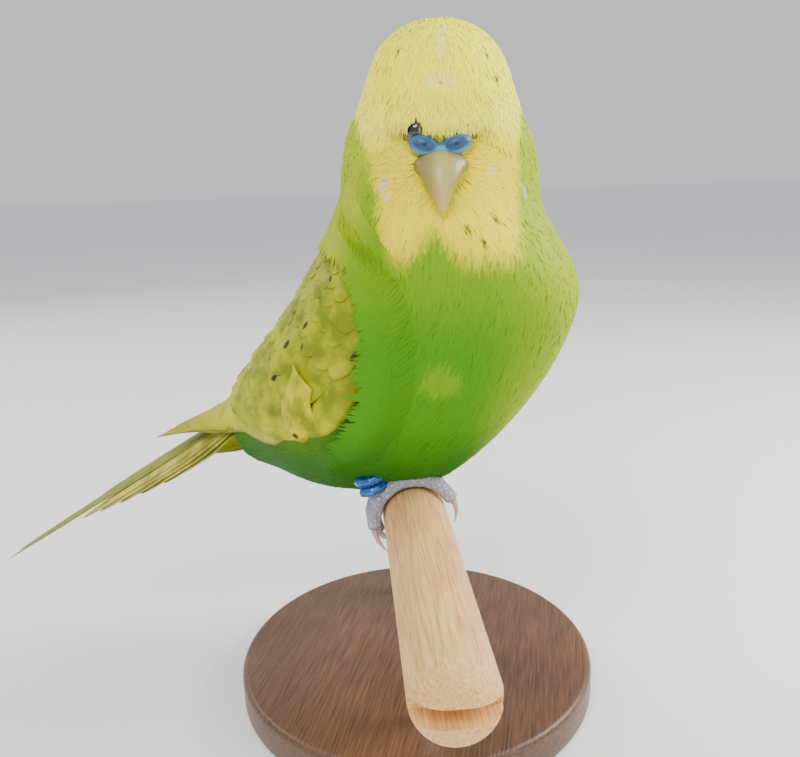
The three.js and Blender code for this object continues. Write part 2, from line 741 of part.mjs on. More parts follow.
// A wing feather from one place on the wing to another. Each end is a station, an angle
// from the middle of the back, and a lift above the trunk. It sags down the flank between them.
function wingFeather(side, root, tip, half, rows, sag = 0) {
  return vane((share, across) => {
    const station = THREE.MathUtils.lerp(root[0], tip[0], share);
    const middle =
      THREE.MathUtils.lerp(root[1], tip[1], share ** 0.9) + sag * 4 * share * (1 - share);
    const lift = THREE.MathUtils.lerp(root[2], tip[2], share);
    const reach = skinPoint(station, middle + 1).distanceTo(skinPoint(station, middle - 1)) / 2;
    const angle = -side * (middle + across / reach);
    return { point: onSkin(station, angle, lift), up: skinNormal(station, angle) };
  }, half, rows);
}

const tiers = (count, make) => Array.from({ length: count }, (_, i) => make(i, i / (count - 1)));
// The right wing's flight feathers sag further down its flank than the left wing's do.
function featheredWing(side) {
  const primaries = tiers(6, (i, share) => {
    const tip = WING_TIP - [0.3, 0, 0.2, 0.55, 1, 1.45][i];
    const root = [7.6 + 0.05 * i, 98 - 7.4 * i, 1.7 + 0.14 * i];
    const end = [tip, 50 - 3.6 * i, 0.9 + 0.36 * i];
    const sag = (side === right ? 36 : 8) * (1 - share);
    return wingFeather(side, root, end, 3.5 + 0.2 * share, VANE_ROWS, sag);
  });
  const secondaries = tiers(7, (i, share) =>
    wingFeather(
      side,
      [7.3, 86 - 11 * i, 2.2],
      [9.8 - 0.75 * share, 76 - 10 * i, 3.3 + 0.2 * i],
      3.5,
      COVERT_ROWS,
    ),
  );
  const greater = tiers(7, (i, share) =>
    wingFeather(
      side,
      [6.3, 92 - 13 * i, 2.3],
      [8.4 - 0.35 * share, 92 - 13 * i, 4.0 + (i % 2) * 0.35],
      3.9,
      COVERT_ROWS,
    ),
  );
  const median = tiers(5, (i) =>
    wingFeather(
      side,
      [5.4, 87 - 16.5 * i, 2.2],
      [7.2, 89 - 16.5 * i, 4.0 + (i % 2) * 0.35],
      4.4,
      COVERT_ROWS,
    ),
  );
  const lesser = tiers(4, (i) =>
    wingFeather(
      side,
      [4.7, 76 - 14 * i, 1.4],
      [6.1, 82 - 18 * i, 3.7 + (i % 2) * 0.35],
      3.8,
      COVERT_ROWS,
    ),
  );
  return joined([wingCore(side), ...primaries, ...secondaries, ...greater, ...median, ...lesser]);
}

// Everything in place

const right = 1;
const left = -1;
const bothSides = [
  ['right', right],
  ['left', left],
];
const grips = bothSides.map(([, side]) => gripHollow(side));
const grownThighs = bothSides.map(([, side]) => thighSolid(side, GAP));
const grownRing = ringSolid(GAP);
const ringHollow = ringSpace();
const grownShanks = bothSides.map(([, side]) => shankSolid(side, GAP));
const grownTail = tailRoom();
const grownTrunk = trunkSolid(3.6, TRUNK_END + 0.1, GAP, 0.5);
const belowTorso = joined([grownPerch, ...grips, ...grownShanks, ...grownThighs, ringHollow]);
const faceParts = joined([
  upperBill(GAP),
  lowerBill(GAP),
  cereSolid(GAP),
  eyeLid(right, GAP),
  eyeLid(left, GAP),
]);

addNode('torso', trunkPart(NECK_BASE, RUMP_START).subtract(belowTorso), PLUMAGE_GREEN);
addNode('neck', trunkPart(NECK_TOP, NECK_BASE).subtract(faceParts), PLUMAGE_YELLOW);
addNode('head', trunkPart(0, NECK_TOP).subtract(faceParts), PLUMAGE_YELLOW);
addNode('rump', trunkPart(RUMP_START, TRUNK_END).subtract(joined([grownTail, ...grownThighs])), PLUMAGE_GREEN);

addNode('cere', cereSolid(0).subtract(nostrils()).subtract(upperBill(GAP)), CERE_BLUE);
addNode('bill_upper', upperBill(0), BILL_HORN);
addNode('bill_lower', lowerBill(0).subtract(upperBill(GAP)), BILL_HORN);
for (const [word, side] of bothSides) {
  addNode(`eye_${word}`, eyeBall(side, 0).subtract(cereSolid(GAP)), EYE_DARK);
  addNode(`eyelid_${word}`, eyeLid(side, 0).subtract(cereSolid(GAP)), SKIN_GREY);
}

for (const [word, side] of bothSides) {
  const wing = featheredWing(side).subtract(joined([grownTail, grownTrunk]));
  addNode(`wing_${word}`, wing, WING_YELLOW, 0.05);
}
addNode('tail', featheredTail(), TAIL_YELLOW, 0.04);

for (const [word, side] of bothSides) {
  const ring = side === right ? ringHollow : grownPerch;
  addNode(
    `thigh_${word}`,
    thighSolid(side, 0).subtract(shankSolid(side, GAP)).subtract(gripHollow(side)).subtract(ring),
    PLUMAGE_GREEN,
  );
  const foot = footSolid(side, 0).subtract(grownPerch);
  addNode(`foot_${word}`, side === right ? foot.subtract(grownRing) : foot, SKIN_GREY);
  for (const toe of TOES)
    addNode(`claw_${word}_${toe.name}`, clawSolid(side, toe).subtract(grownPerch), CLAW_HORN);
}
addNode('leg_ring', ringSolid(0), RING_BLUE);

const rods = joined([rodSolid(-1, GAP), rodSolid(1, GAP)]);
const slot = solidFromGeometry(
  new THREE.BoxGeometry(2 * PERCH_SLOT_DEPTH, 2 * PERCH_DIAMETER, PERCH_SLOT_HEIGHT),
  new THREE.Matrix4()
    .makeBasis(perchAlong, perchFront, UP)
    .setPosition(perchPoint(-PERCH_NEAR_LENGTH, 0, 0)),
);
addNode('perch', perchSolid(0).subtract(slot).subtract(rods), PERCH_WOOD);
addNode('stand_base', standBase().subtract(rods), STAND_WOOD);
addNode('stand_rod_1', rodSolid(-1, 0), ROD_STEEL);
addNode('stand_rod_2', rodSolid(1, 0), ROD_STEEL);

export default bird;
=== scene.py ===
import json
import math

import bmesh
import bpy
import numpy as np
from mathutils import Matrix, Vector
from mathutils.bvhtree import BVHTree

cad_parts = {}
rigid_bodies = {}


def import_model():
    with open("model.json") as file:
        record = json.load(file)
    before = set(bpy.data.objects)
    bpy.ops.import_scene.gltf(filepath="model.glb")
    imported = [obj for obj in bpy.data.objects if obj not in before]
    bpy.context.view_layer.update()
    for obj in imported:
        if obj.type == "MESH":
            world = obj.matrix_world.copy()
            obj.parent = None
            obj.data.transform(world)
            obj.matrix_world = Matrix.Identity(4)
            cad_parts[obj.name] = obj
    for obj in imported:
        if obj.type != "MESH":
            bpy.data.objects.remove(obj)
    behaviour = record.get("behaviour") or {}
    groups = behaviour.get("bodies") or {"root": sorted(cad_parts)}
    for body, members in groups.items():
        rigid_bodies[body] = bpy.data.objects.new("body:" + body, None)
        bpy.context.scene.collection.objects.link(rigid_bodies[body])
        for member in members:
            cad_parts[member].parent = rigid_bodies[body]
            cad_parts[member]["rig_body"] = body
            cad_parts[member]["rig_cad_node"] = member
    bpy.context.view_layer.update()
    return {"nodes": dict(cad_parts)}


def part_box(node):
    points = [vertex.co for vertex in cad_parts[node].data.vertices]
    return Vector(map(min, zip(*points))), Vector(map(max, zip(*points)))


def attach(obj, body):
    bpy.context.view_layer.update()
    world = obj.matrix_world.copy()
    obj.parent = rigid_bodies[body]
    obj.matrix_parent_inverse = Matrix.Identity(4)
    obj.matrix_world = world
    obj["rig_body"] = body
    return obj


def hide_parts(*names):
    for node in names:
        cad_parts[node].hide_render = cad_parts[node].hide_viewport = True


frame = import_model()
bpy.ops.object.select_all(action="DESELECT")

# Camera and studio light
# The view is the photograph's, close to the perch and a little above the bird's feet, looking down,
# with a broad soft key from the upper front and a rim from behind the bird's left shoulder.
camera_data = bpy.data.cameras.new("view")
camera_data.sensor_width = 36
camera_data.lens = 34.65
camera_data.clip_start = 0.01
camera = bpy.data.objects.new("view", camera_data)
camera.location = (-0.144072, -0.088114, 0.117126)
camera.rotation_euler = [math.radians(angle) for angle in (76.2574, 1.9084, -58.4666)]
bpy.context.scene.collection.objects.link(camera)
bpy.context.scene.camera = camera


def soft_light(name, place, aim, width, power, tint):
    data = bpy.data.lights.new(name, "AREA")
    data.shape = "DISK"
    data.size = width
    data.energy = power
    data.color = tint
    lamp = bpy.data.objects.new(name, data)
    lamp.location = place
    lamp.rotation_euler = (Vector(aim) - Vector(place)).to_track_quat("-Z", "Y").to_euler()
    bpy.context.scene.collection.objects.link(lamp)


soft_light("key", (-0.45, -0.10, 0.62), (0, 0, 0.09), 0.42, 3.7, (1, 0.97, 0.92))
soft_light("fill", (-0.30, -0.62, 0.22), (0, 0, 0.09), 0.55, 1.3, (0.93, 0.97, 1))
soft_light("rim", (0.30, -0.36, 0.40), (0, 0, 0.10), 0.30, 4.0, (1, 0.98, 0.93))
soft_light("back", (0.10, 0.60, 0.50), (0, 0, 0.08), 0.45, 2.0, (1, 1, 1))

world = bpy.data.worlds.new("studio")
world.use_nodes = True
world.node_tree.nodes["Background"].inputs["Color"].default_value = (0.80, 0.80, 0.83, 1)
world.node_tree.nodes["Background"].inputs["Strength"].default_value = 0.92
bpy.context.scene.world = world


# The floor is one plain pale sheet.
def paint(red, green, blue):
    """A colour as it is seen on a screen, 0 to 255, as the light values that a shader takes."""
    channels = [value / 255 for value in (red, green, blue)]
    return [c / 12.92 if c <= 0.04045 else ((c + 0.055) / 1.055) ** 2.4 for c in channels] + [1]


def finish(name, roughness):
    """A new material with its nodes and Principled shader."""
    material = bpy.data.materials.new(name)
    material.use_nodes = True
    nodes = material.node_tree.nodes
    shader = nodes["Principled BSDF"]
    shader.inputs["Roughness"].default_value = roughness
    return material, nodes, shader


bpy.ops.mesh.primitive_plane_add(size=60, location=(0, 0, 0))
floor = bpy.context.object
floor.name = "floor"
floor_finish, nodes, shader = finish("floor_paper", 0.8)
shader.inputs["Base Color"].default_value = paint(244, 244, 246)
floor.data.materials.append(floor_finish)


# Display stand
# A turned wooden foot and two short steel rods carry the perch. The foot is stained and waxed
# hardwood with a small rounded rim. The rods are bright steel, pressed into both.
def feed(socket, value):
    """Sets a socket to a plain value, or links it where the value is another node's output."""
    if isinstance(value, bpy.types.NodeSocket):
        socket.id_data.links.new(value, socket)
    else:
        socket.default_value = value


def put(nodes, kind, **values):
    """A new shader node with its inputs fed by name. From_Min stands for the input From Min."""
    node = nodes.new("ShaderNode" + kind)
    if kind == "Mix":
        node.data_type = "RGBA"
    for label, value in values.items():
        feed(node.inputs[label.replace("_", " ")], value)
    return node


def mix(nodes, factor, low, high):
    return put(nodes, "Mix", Factor=factor, A=low, B=high).outputs["Result"]


def sums(nodes, operation, *values):
    """One step of arithmetic on plain values or other nodes' outputs."""
    node = nodes.new("ShaderNodeMath")
    node.operation = operation
    for socket, value in zip(node.inputs, values):
        feed(socket, value)
    return node.outputs["Value"]


def noise(nodes, scale, detail=2, place=None):
    """Cloudy noise over the piece's own place, or over another place that is given."""
    if place is None:
        place = nodes.new("ShaderNodeTexCoord").outputs["Object"]
    return put(nodes, "TexNoise", Vector=place, Scale=scale, Detail=detail).outputs["Fac"]


def add_bump(nodes, shader, height, strength, distance):
    bump = put(nodes, "Bump", Height=height, Strength=strength, Distance=distance)
    feed(shader.inputs["Normal"], bump.outputs["Normal"])


def wood_grain_group():
    """Long streaks, fine pores and a slow change of tone for any wood. It reads millimetres."""
    group = bpy.data.node_groups.new("wood_grain", "ShaderNodeTree")
    for name, in_out, kind in (
        ("Place", "INPUT", "Vector"),
        ("Dark", "INPUT", "Color"),
        ("Light", "INPUT", "Color"),
        ("Streaks", "INPUT", "Float"),
        ("Color", "OUTPUT", "Color"),
        ("Height", "OUTPUT", "Float"),
    ):
        group.interface.new_socket(name, in_out=in_out, socket_type="NodeSocket" + kind)
    nodes = group.nodes
    entry = nodes.new("NodeGroupInput")
    leave = nodes.new("NodeGroupOutput")
    stretch = put(nodes, "Mapping", Vector=entry.outputs["Place"], Scale=(0.05, 1, 1))
    streaks = noise(nodes, entry.outputs["Streaks"], 5, stretch.outputs["Vector"])
    pores = noise(nodes, 2.6, 3, stretch.outputs["Vector"])
    slow = noise(nodes, 0.07, 2, entry.outputs["Place"])
    height = sums(nodes, "MULTIPLY_ADD", streaks, 0.5, sums(nodes, "MULTIPLY_ADD", slow, 0.32, pores))
    level = sums(nodes, "MULTIPLY", height, 0.55)
    contrast = put(nodes, "MapRange", Value=level, From_Min=0.34, From_Max=0.66)
    tone = mix(nodes, contrast.outputs["Result"], entry.outputs["Dark"], entry.outputs["Light"])
    feed(leave.inputs["Color"], tone)
    feed(leave.inputs["Height"], height)
    return group


wood_grain = wood_grain_group()


def wood_finish(name, dark, light, roughness, turn, streaks):
    """Wood whose grain runs along the direction that turn, in degrees about the vertical, gives."""
    material, nodes, shader = finish(name, roughness)
    place = nodes.new("ShaderNodeTexCoord").outputs["Object"]
    placing = put(nodes, "Mapping", Vector=place, Scale=(1000, 1000, 1000))
    placing.inputs["Rotation"].default_value = (0, 0, -math.radians(turn))
    grain = nodes.new("ShaderNodeGroup")
    grain.node_tree = wood_grain
    feed(grain.inputs["Place"], placing.outputs["Vector"])
    feed(grain.inputs["Dark"], dark)
    feed(grain.inputs["Light"], light)
    feed(grain.inputs["Streaks"], streaks)
    feed(shader.inputs["Base Color"], grain.outputs["Color"])
    add_bump(nodes, shader, grain.outputs["Height"], 0.25, 0.0003)
    return material


def shape_done(piece):
    """Puts the piece's place into its mesh and leaves nothing selected."""
    bpy.ops.object.select_all(action="DESELECT")
    piece.select_set(True)
    bpy.context.view_layer.objects.active = piece
    bpy.ops.object.transform_apply(location=True, rotation=True, scale=True)
    piece.select_set(False)


def apply_modifier(piece, kind, **settings):
    modifier = piece.modifiers.new(kind.lower(), kind)
    for name, value in settings.items():
        setattr(modifier, name, value)
    bpy.ops.object.select_all(action="DESELECT")
    piece.select_set(True)
    bpy.context.view_layer.objects.active = piece
    bpy.ops.object.modifier_apply(modifier=modifier.name)
    piece.select_set(False)


def shade_smooth(piece, angle=None):
    """Smooth shading all over, or only between faces that meet at less than the angle in degrees."""
    bpy.ops.object.select_all(action="DESELECT")
    piece.select_set(True)
    if angle is None:
        bpy.ops.object.shade_smooth()
    else:
        bpy.ops.object.shade_smooth_by_angle(angle=math.radians(angle))


BASE_RADIUS = 0.042
BASE_HEIGHT = 0.008
bpy.ops.mesh.primitive_cylinder_add(
    vertices=160, radius=BASE_RADIUS, depth=BASE_HEIGHT, location=(0, 0, BASE_HEIGHT / 2)
)
foot_disc = bpy.context.object
foot_disc.name = "stand_foot"
shape_done(foot_disc)
apply_modifier(foot_disc, "BEVEL", width=0.0014, segments=5, limit_method="ANGLE")
shade_smooth(foot_disc, 40)
foot_disc.data.materials.append(
    wood_finish("stand_wood", paint(62, 40, 26), paint(112, 78, 52), 0.38, 20, 1.1)
)
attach(foot_disc, "root")
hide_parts("stand_base")

steel, nodes, shader = finish("rod_steel", 0.24)
shader.inputs["Base Color"].default_value = paint(196, 199, 203)
shader.inputs["Metallic"].default_value = 1
steel_place = nodes.new("ShaderNodeTexCoord").outputs["Object"]
placing = put(nodes, "Mapping", Vector=steel_place, Scale=(900, 900, 9000))
brushing = noise(nodes, 1, 2, placing.outputs["Vector"])
levels = put(nodes, "MapRange", Value=brushing, To_Min=0.18, To_Max=0.34)
feed(shader.inputs["Roughness"], levels.outputs["Result"])
for name in ("stand_rod_1", "stand_rod_2"):
    low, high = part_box(name)
    middle = (low + high) / 2
    bpy.ops.mesh.primitive_cylinder_add(
        vertices=48, radius=0.002, depth=high.z - low.z, location=middle
    )
    rod = bpy.context.object
    rod.name = name.replace("stand_", "steel_")
    shape_done(rod)
    apply_modifier(rod, "BEVEL", width=0.0003, segments=3, limit_method="ANGLE")
    shade_smooth(rod, 40)
    rod.data.materials.append(steel)
    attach(rod, "root")
    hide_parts(name)


# Perch
# A short length of round beech dowel, worn smooth. Its near end is rounded over and has a level
# slot sawn across it. The far end is sawn square with a light chamfer.
PERCH_HEADING = math.radians(35.65)
PERCH_AXIS = 0.047
PERCH_RADIUS = 0.007
PERCH_NEAR = -0.0785
PERCH_FAR = 0.036
PERCH_ROUNDING = 0.005
SLOT_HEIGHT = 0.0032
SLOT_DEPTH = 0.005
perch_along = Vector((math.cos(PERCH_HEADING), math.sin(PERCH_HEADING), 0))
perch_front = Vector((perch_along.y, -perch_along.x, 0))
perch_turn = (math.radians(90), 0, PERCH_HEADING + math.radians(90))


def on_perch(along, front=0, up=0):
    return perch_along * along + perch_front * front + Vector((0, 0, PERCH_AXIS + up))


bpy.ops.mesh.primitive_cylinder_add(
    vertices=128,
    radius=PERCH_RADIUS,
    depth=PERCH_FAR - PERCH_NEAR,
    location=on_perch((PERCH_FAR + PERCH_NEAR) / 2),
    rotation=perch_turn,
)
dowel = bpy.context.object
dowel.name = "perch_dowel"
shape_done(dowel)
weights = dowel.data.attributes.new("bevel_weight_edge", "FLOAT", "EDGE")
for edge in dowel.data.edges:
    ends = [dowel.data.vertices[v].co.dot(perch_along) for v in edge.vertices]
    if max(ends) < PERCH_NEAR + 0.001:
        weights.data[edge.index].value = 1
    elif min(ends) > PERCH_FAR - 0.001:
        weights.data[edge.index].value = 0.2
apply_modifier(dowel, "BEVEL", width=PERCH_ROUNDING, segments=10, limit_method="WEIGHT")
bpy.ops.mesh.primitive_cube_add(
    size=1,
    location=on_perch(PERCH_NEAR + SLOT_DEPTH / 2 - 0.002),
    rotation=(0, 0, PERCH_HEADING),
    scale=(SLOT_DEPTH + 0.004, 0.03, SLOT_HEIGHT),
)
saw_cut = bpy.context.object
shape_done(saw_cut)
apply_modifier(dowel, "BOOLEAN", operation="DIFFERENCE", solver="EXACT", object=saw_cut)
bpy.data.objects.remove(saw_cut)
apply_modifier(dowel, "BEVEL", width=0.00035, segments=3, limit_method="ANGLE", angle_limit=0.9)
shade_smooth(dowel, 35)
dowel.data.materials.append(
    wood_finish("perch_wood", paint(196, 138, 76), paint(236, 192, 126), 0.62, 35.65, 1.3)
)
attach(dowel, "root")
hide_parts("perch")


# Skin
# The body's own form under the feathers, from the crown to the root of the tail, with both
# thighs. It is one closed surface a coat's depth inside the outline, so no seam shows.
PERCH_TOP = 54
HEAD_TURN = 60.6
COAT_DEPTH = 1.0
# Down the spine: x, y and height above the perch's top, then half width, front and back in
# millimetres, and the share of the head's turn.
STATIONS = np.array([
    (-1, -10, 95.7, 12.6, 12.6, 12, 1),
    (-1, -10, 89, 13.3, 13.4, 13, 1),
    (-1, -10, 81, 15.6, 15.4, 14.4, 1),
    (-1, -9.8, 72, 19.3, 16, 16.3, 1),
    (-0.5, -9.6, 61, 21, 20, 17.1, 0.6),
    (0, -8, 49, 23.5, 32.5, 19.2, 0.1),
    (0, -2.5, 37, 24.5, 31.5, 20, 0),
    (-0.5, 9, 24, 23.5, 30.5, 18.5, 0),
    (-1.5, 21.5, 15, 20, 23.3, 16, 0),
    (-3.5, 33, 9.5, 14.5, 15.5, 12, 0),
    (-7, 44, 5, 8.5, 7, 6.5, 0),
    (-12, 60, 0, 6, 3, 3.5, 0),
    (-19, 80, -9, 5, 2, 2.5, 0),
])
TRUNK_END = 10
CROWN_ROUNDING = 1.5


def smooth_through(points, places):
    """A centripetal spline through the points, read at places that count along them."""
    first = 2 * points[0] - points[1]
    last = 2 * points[-1] - points[-2]
    padded = np.vstack([first, points, last])
    low = np.clip(np.floor(places).astype(int), 0, len(points) - 2)
    share = (places - low)[:, None]
    p0, p1, p2, p3 = (padded[low + k] for k in range(4))
    gap = [np.sqrt(np.linalg.norm(b - a, axis=1))[:, None] for a, b in ((p0, p1), (p1, p2), (p2, p3))]
    gap = [np.maximum(g, 1e-4) for g in gap]
    leave = (p1 - p0) / gap[0] - (p2 - p0) / (gap[0] + gap[1]) + (p2 - p1) / gap[1]
    arrive = (p2 - p1) / gap[1] - (p3 - p1) / (gap[1] + gap[2]) + (p3 - p2) / gap[2]
    leave, arrive = leave * gap[1], arrive * gap[1]
    square, cube = share**2, share**3
    return (
        (2 * cube - 3 * square + 1) * p1
        + (cube - 2 * square + share) * leave
        + (-2 * cube + 3 * square) * p2
        + (cube - square) * arrive
    )


def unit(vectors):
    return vectors / np.maximum(np.linalg.norm(vectors, axis=-1, keepdims=True), 1e-9)


fine = np.linspace(0, 12, 1201)
spine_line = smooth_through(STATIONS[:, :3] + [0, 0, PERCH_TOP], fine)
spine_sizes = smooth_through(STATIONS[:, 3:6], fine)
turn_points = np.column_stack([STATIONS[:, 6] * HEAD_TURN, np.arange(13.0), np.zeros(13)])
spine_turn = np.radians(smooth_through(turn_points, fine)[:, 0])
spine_along = unit(np.gradient(spine_line, axis=0))
ahead = np.column_stack([-np.sin(spine_turn), -np.cos(spine_turn), np.zeros(1201)])
ahead -= spine_along * np.sum(ahead * spine_along, axis=1)[:, None]
spine_back = -unit(ahead)
spine_left = -unit(np.cross(spine_back, spine_along))
cap = np.minimum(fine / CROWN_ROUNDING, 1)
spine_sizes *= np.sqrt(np.maximum(1 - (1 - cap) ** 2, 1e-4))[:, None]


def read_spine(table, station):
    place = np.clip(station, 0, 12) * 100
    low = np.minimum(place.astype(int), 1199)
    share = (place - low)[..., None]
    return table[low] * (1 - share) + table[low + 1] * share


def on_trunk(station, angle):
    """Points of the outline in millimetres. Angle is 0 along the back, 90 at the left flank,
    -90 at the right flank and 180 down the middle of the breast."""
    turn = np.radians(angle)
    size = read_spine(spine_sizes, station)
    reach = np.where(np.cos(turn) > 0, size[..., 2], size[..., 1])
    sideways = read_spine(spine_left, station) * (size[..., 0] * np.sin(turn))[..., None]
    backways = read_spine(spine_back, station) * (reach * np.cos(turn))[..., None]
    return read_spine(spine_line, station) + sideways + backways


def trunk_normal(station, angle):
    low = np.maximum(station - 0.05, 0.002)
    down = on_trunk(station + 0.05, angle) - on_trunk(low, angle)
    across = on_trunk(station, angle + 2) - on_trunk(station, angle - 2)
    return unit(np.cross(down, across)) * -1


def over_trunk(station, angle, lift):
    normal = trunk_normal(station, angle)
    outward = on_trunk(station, angle) - read_spine(spine_line, station)
    normal *= np.sign(np.sum(normal * outward, axis=-1, keepdims=True))
    return on_trunk(station, angle) + normal * np.asarray(lift)[..., None], normal


RINGS = 150
SIDES = 96
bpy.ops.mesh.primitive_uv_sphere_add(segments=SIDES, ring_count=RINGS, radius=0.01)
skin = bpy.context.object
skin.name = "skin"
start = np.array([v.co for v in skin.data.vertices])
latitude = np.arccos(np.clip(start[:, 2] / 0.01, -1, 1)) / math.pi
skin_stations = np.maximum(latitude * TRUNK_END, 0.0)
skin_angles = np.degrees(np.arctan2(start[:, 1], start[:, 0]))
skin_points = on_trunk(skin_stations, skin_angles)
pole = np.argmax(latitude)
skin_points[pole] = spine_line[TRUNK_END * 100] + spine_along[TRUNK_END * 100] * 2.0
skin.data.vertices.foreach_set("co", (skin_points * 0.001).ravel())
for name in ("thigh_right", "thigh_left"):
    copy = frame["nodes"][name].copy()
    copy.data = copy.data.copy()
    copy.parent = None
    bpy.context.scene.collection.objects.link(copy)
    bpy.ops.object.select_all(action="DESELECT")
    copy.select_set(True)
    skin.select_set(True)
    bpy.context.view_layer.objects.active = skin
    bpy.ops.object.join()
weld = bmesh.new()
weld.from_mesh(skin.data)
bmesh.ops.remove_doubles(weld, verts=weld.verts, dist=1e-6)
bmesh.ops.recalc_face_normals(weld, faces=weld.faces)
weld.to_mesh(skin.data)
weld.free()
apply_modifier(skin, "REMESH", mode="VOXEL", voxel_size=0.0009)
apply_modifier(skin, "SMOOTH", factor=0.6, iterations=12)
apply_modifier(skin, "DISPLACE", strength=-COAT_DEPTH * 0.001, mid_level=0)
shade_smooth(skin)
if "sharp_face" in skin.data.attributes:
    skin.data.attributes.remove(skin.data.attributes["sharp_face"])


def mesh_points(piece):
    points = np.empty(len(piece.data.vertices) * 3)
    piece.data.vertices.foreach_get("co", points)
    return points.reshape(-1, 3) * 1000


def place_on_body(points):
    """The station and angle of each point, read from the nearest place on the spine."""
    stations = np.empty(len(points))
    samples = spine_line[: TRUNK_END * 100 + 60 : 5]
    for first in range(0, len(points), 4000):
        part = points[first : first + 4000]
        gap = np.linalg.norm(part[:, None] - samples[None], axis=2)
        stations[first : first + 4000] = np.argmin(gap, axis=1) * 0.05
    arm = points - read_spine(spine_line, stations)
    side = np.sum(arm * read_spine(spine_left, stations), axis=1)
    back = np.sum(arm * read_spine(spine_back, stations), axis=1)
    return stations, np.degrees(np.arctan2(side, back))


def soft_step(value, low, high):
    share = np.clip((value - low) / (high - low), 0, 1)
    return share * share * (3 - 2 * share)


# Small feathers of the body
# Thousands of narrow soft vanes lie down the body from crown to vent, short on the face and long
# on the breast and flanks. Each is a thin closed blade, combed over the skin.
BILL_CENTRE = np.array([-1, -10, PERCH_TOP]) + 15 * np.array([-0.871, -0.491, 0]) + [0, 0, 68.5]
face_ahead = np.array([-math.sin(math.radians(HEAD_TURN)), -math.cos(math.radians(HEAD_TURN)), 0])
face_right = np.array([-math.cos(math.radians(HEAD_TURN)), math.sin(math.radians(HEAD_TURN)), 0])
rng = np.random.default_rng(7)


def on_head(ahead, right, up):
    return np.array([-1, -10, PERCH_TOP]) + face_ahead * ahead + face_right * right + [0, 0, up]


skin_tree = BVHTree.FromPolygons(
    mesh_points(skin).tolist(), [list(p.vertices) for p in skin.data.polygons]
)


def nearest_skin(points):
    found = [skin_tree.find_nearest(p) for p in points.tolist()]
    places = np.array([f[0] for f in found])
    normals = np.array([f[1] for f in found])
    return places, normals


def round_the_neck(points):
    """Degrees from straight ahead of the face, growing towards the bird's left."""
    arm = points[:, :2] - [-1, -10]
    ahead_part = arm @ face_ahead[:2]
    left_part = -arm @ face_right[:2]
    return np.degrees(np.arctan2(left_part, ahead_part))


def yellow_share(points):
    """1 on the yellow of the head and mask, 0 on the green of the body."""
    turn = round_the_neck(points)
    height = points[:, 2] - PERCH_TOP
    edge = 52 + 4.5 * np.exp(-((turn + 4) / 9) ** 2)
    right_side = np.interp(height, (50, 53, 62, 71, 77, 84), (27, 30, 36, 50, 66, 110))
    left_side = np.interp(height, (50, 52, 61, 71, 77, 84), (28, 32, 47, 54, 68, 110))
    inside = soft_step(turn + right_side, -5, 5) * soft_step(left_side - turn, -5, 5)
    return np.maximum(soft_step(height, edge - 3, edge + 2.4) * inside, soft_step(height, 79, 87))


def painted_light_share(points, stations, angles):
    """Painted light: 1 where the green is painted a lighter yellow-green for the light that falls on the
    back and the left side, 0 on the breast.
    """
    turn = round_the_neck(points)
    left = soft_step(turn, 12, 78)
    height = points[:, 2] - PERCH_TOP
    back = soft_step(-turn - np.interp(height, (24, 54), (56, 34)), 0, 38)
    low = soft_step(height, 2, 20)
    # The upper chest is painted a little lighter too, painted light from above.
    chest = 0.35 * soft_step(height, 34, 52)
    return np.clip(np.maximum(left, back) * (0.25 + 0.75 * low) + chest, 0, 1)


# Dark flecks on the crown and brow and spots on the throat: place, half width, half height.
FLECKS = [
    (-14.0, -8.6, 141.9, 0.5, 0.5),
    (-15.0, -6.7, 138.7, 0.4, 0.4),
    (-16.5, -11.3, 133.6, 0.45, 0.4),
    (-16.3, -12.7, 133.2, 0.4, 0.35),
    (-16.3, -6.4, 133.7, 0.4, 0.4),
    (-14.0, -17.7, 135.8, 0.45, 0.4),
    (-5.4, -23.0, 140.6, 0.5, 0.45),
    (-4.7, -24.5, 136.7, 0.55, 0.6),
    (-17.4, -24.5, 109.9, 0.75, 1.6),
    (-12.1, -27.4, 112.1, 0.8, 1.8),
    (-17.1, -27.3, 107.4, 0.7, 0.7),
]
# Silvery cheek patches.
CHEEKS = [
    (-19.6, -8.3, 118.7, 0.7, 1.9),
    (-20.2, -9.4, 116.2, 0.4, 1.6),
    (-9.0, -25.6, 120.6, 0.6, 1.6),
    (-2.3, -29.2, 116.0, 0.6, 1.8),
]


def spot_share(points, spots):
    share = np.zeros(len(points))
    for x, y, z, half_width, half_height in spots:
        gap = points - [x, y, z]
        flat = np.hypot(gap[:, 0], gap[:, 1]) / half_width
        reach = np.hypot(flat, gap[:, 2] / half_height)
        share = np.maximum(share, 1 - soft_step(reach, 0.75, 1.2))
    return share


def lie_of_coat(points, normals, stations):
    down = read_spine(spine_along, stations)
    from_bill = points - BILL_CENTRE
    far = np.linalg.norm(from_bill, axis=1)
    near = (1 - soft_step(far, 8, 17)) * (1 - soft_step(points[:, 2] - PERCH_TOP, 70, 75))
    lie = down * (1 - near)[:, None] + unit(from_bill) * near[:, None]
    lie -= normals * np.sum(lie * normals, axis=1)[:, None]
    lost = np.linalg.norm(lie, axis=1) < 0.12
    lie[lost] -= face_ahead * 0.3
    lie -= normals * np.sum(lie * normals, axis=1)[:, None]
    return unit(lie)


BLADE_SHARES = (0, 0.38, 0.74, 1)
BLADE_WIDTHS = (0.7, 1, 0.72)
BLADE_RISE = (0.05, 0.75, 1.0, 0.92)


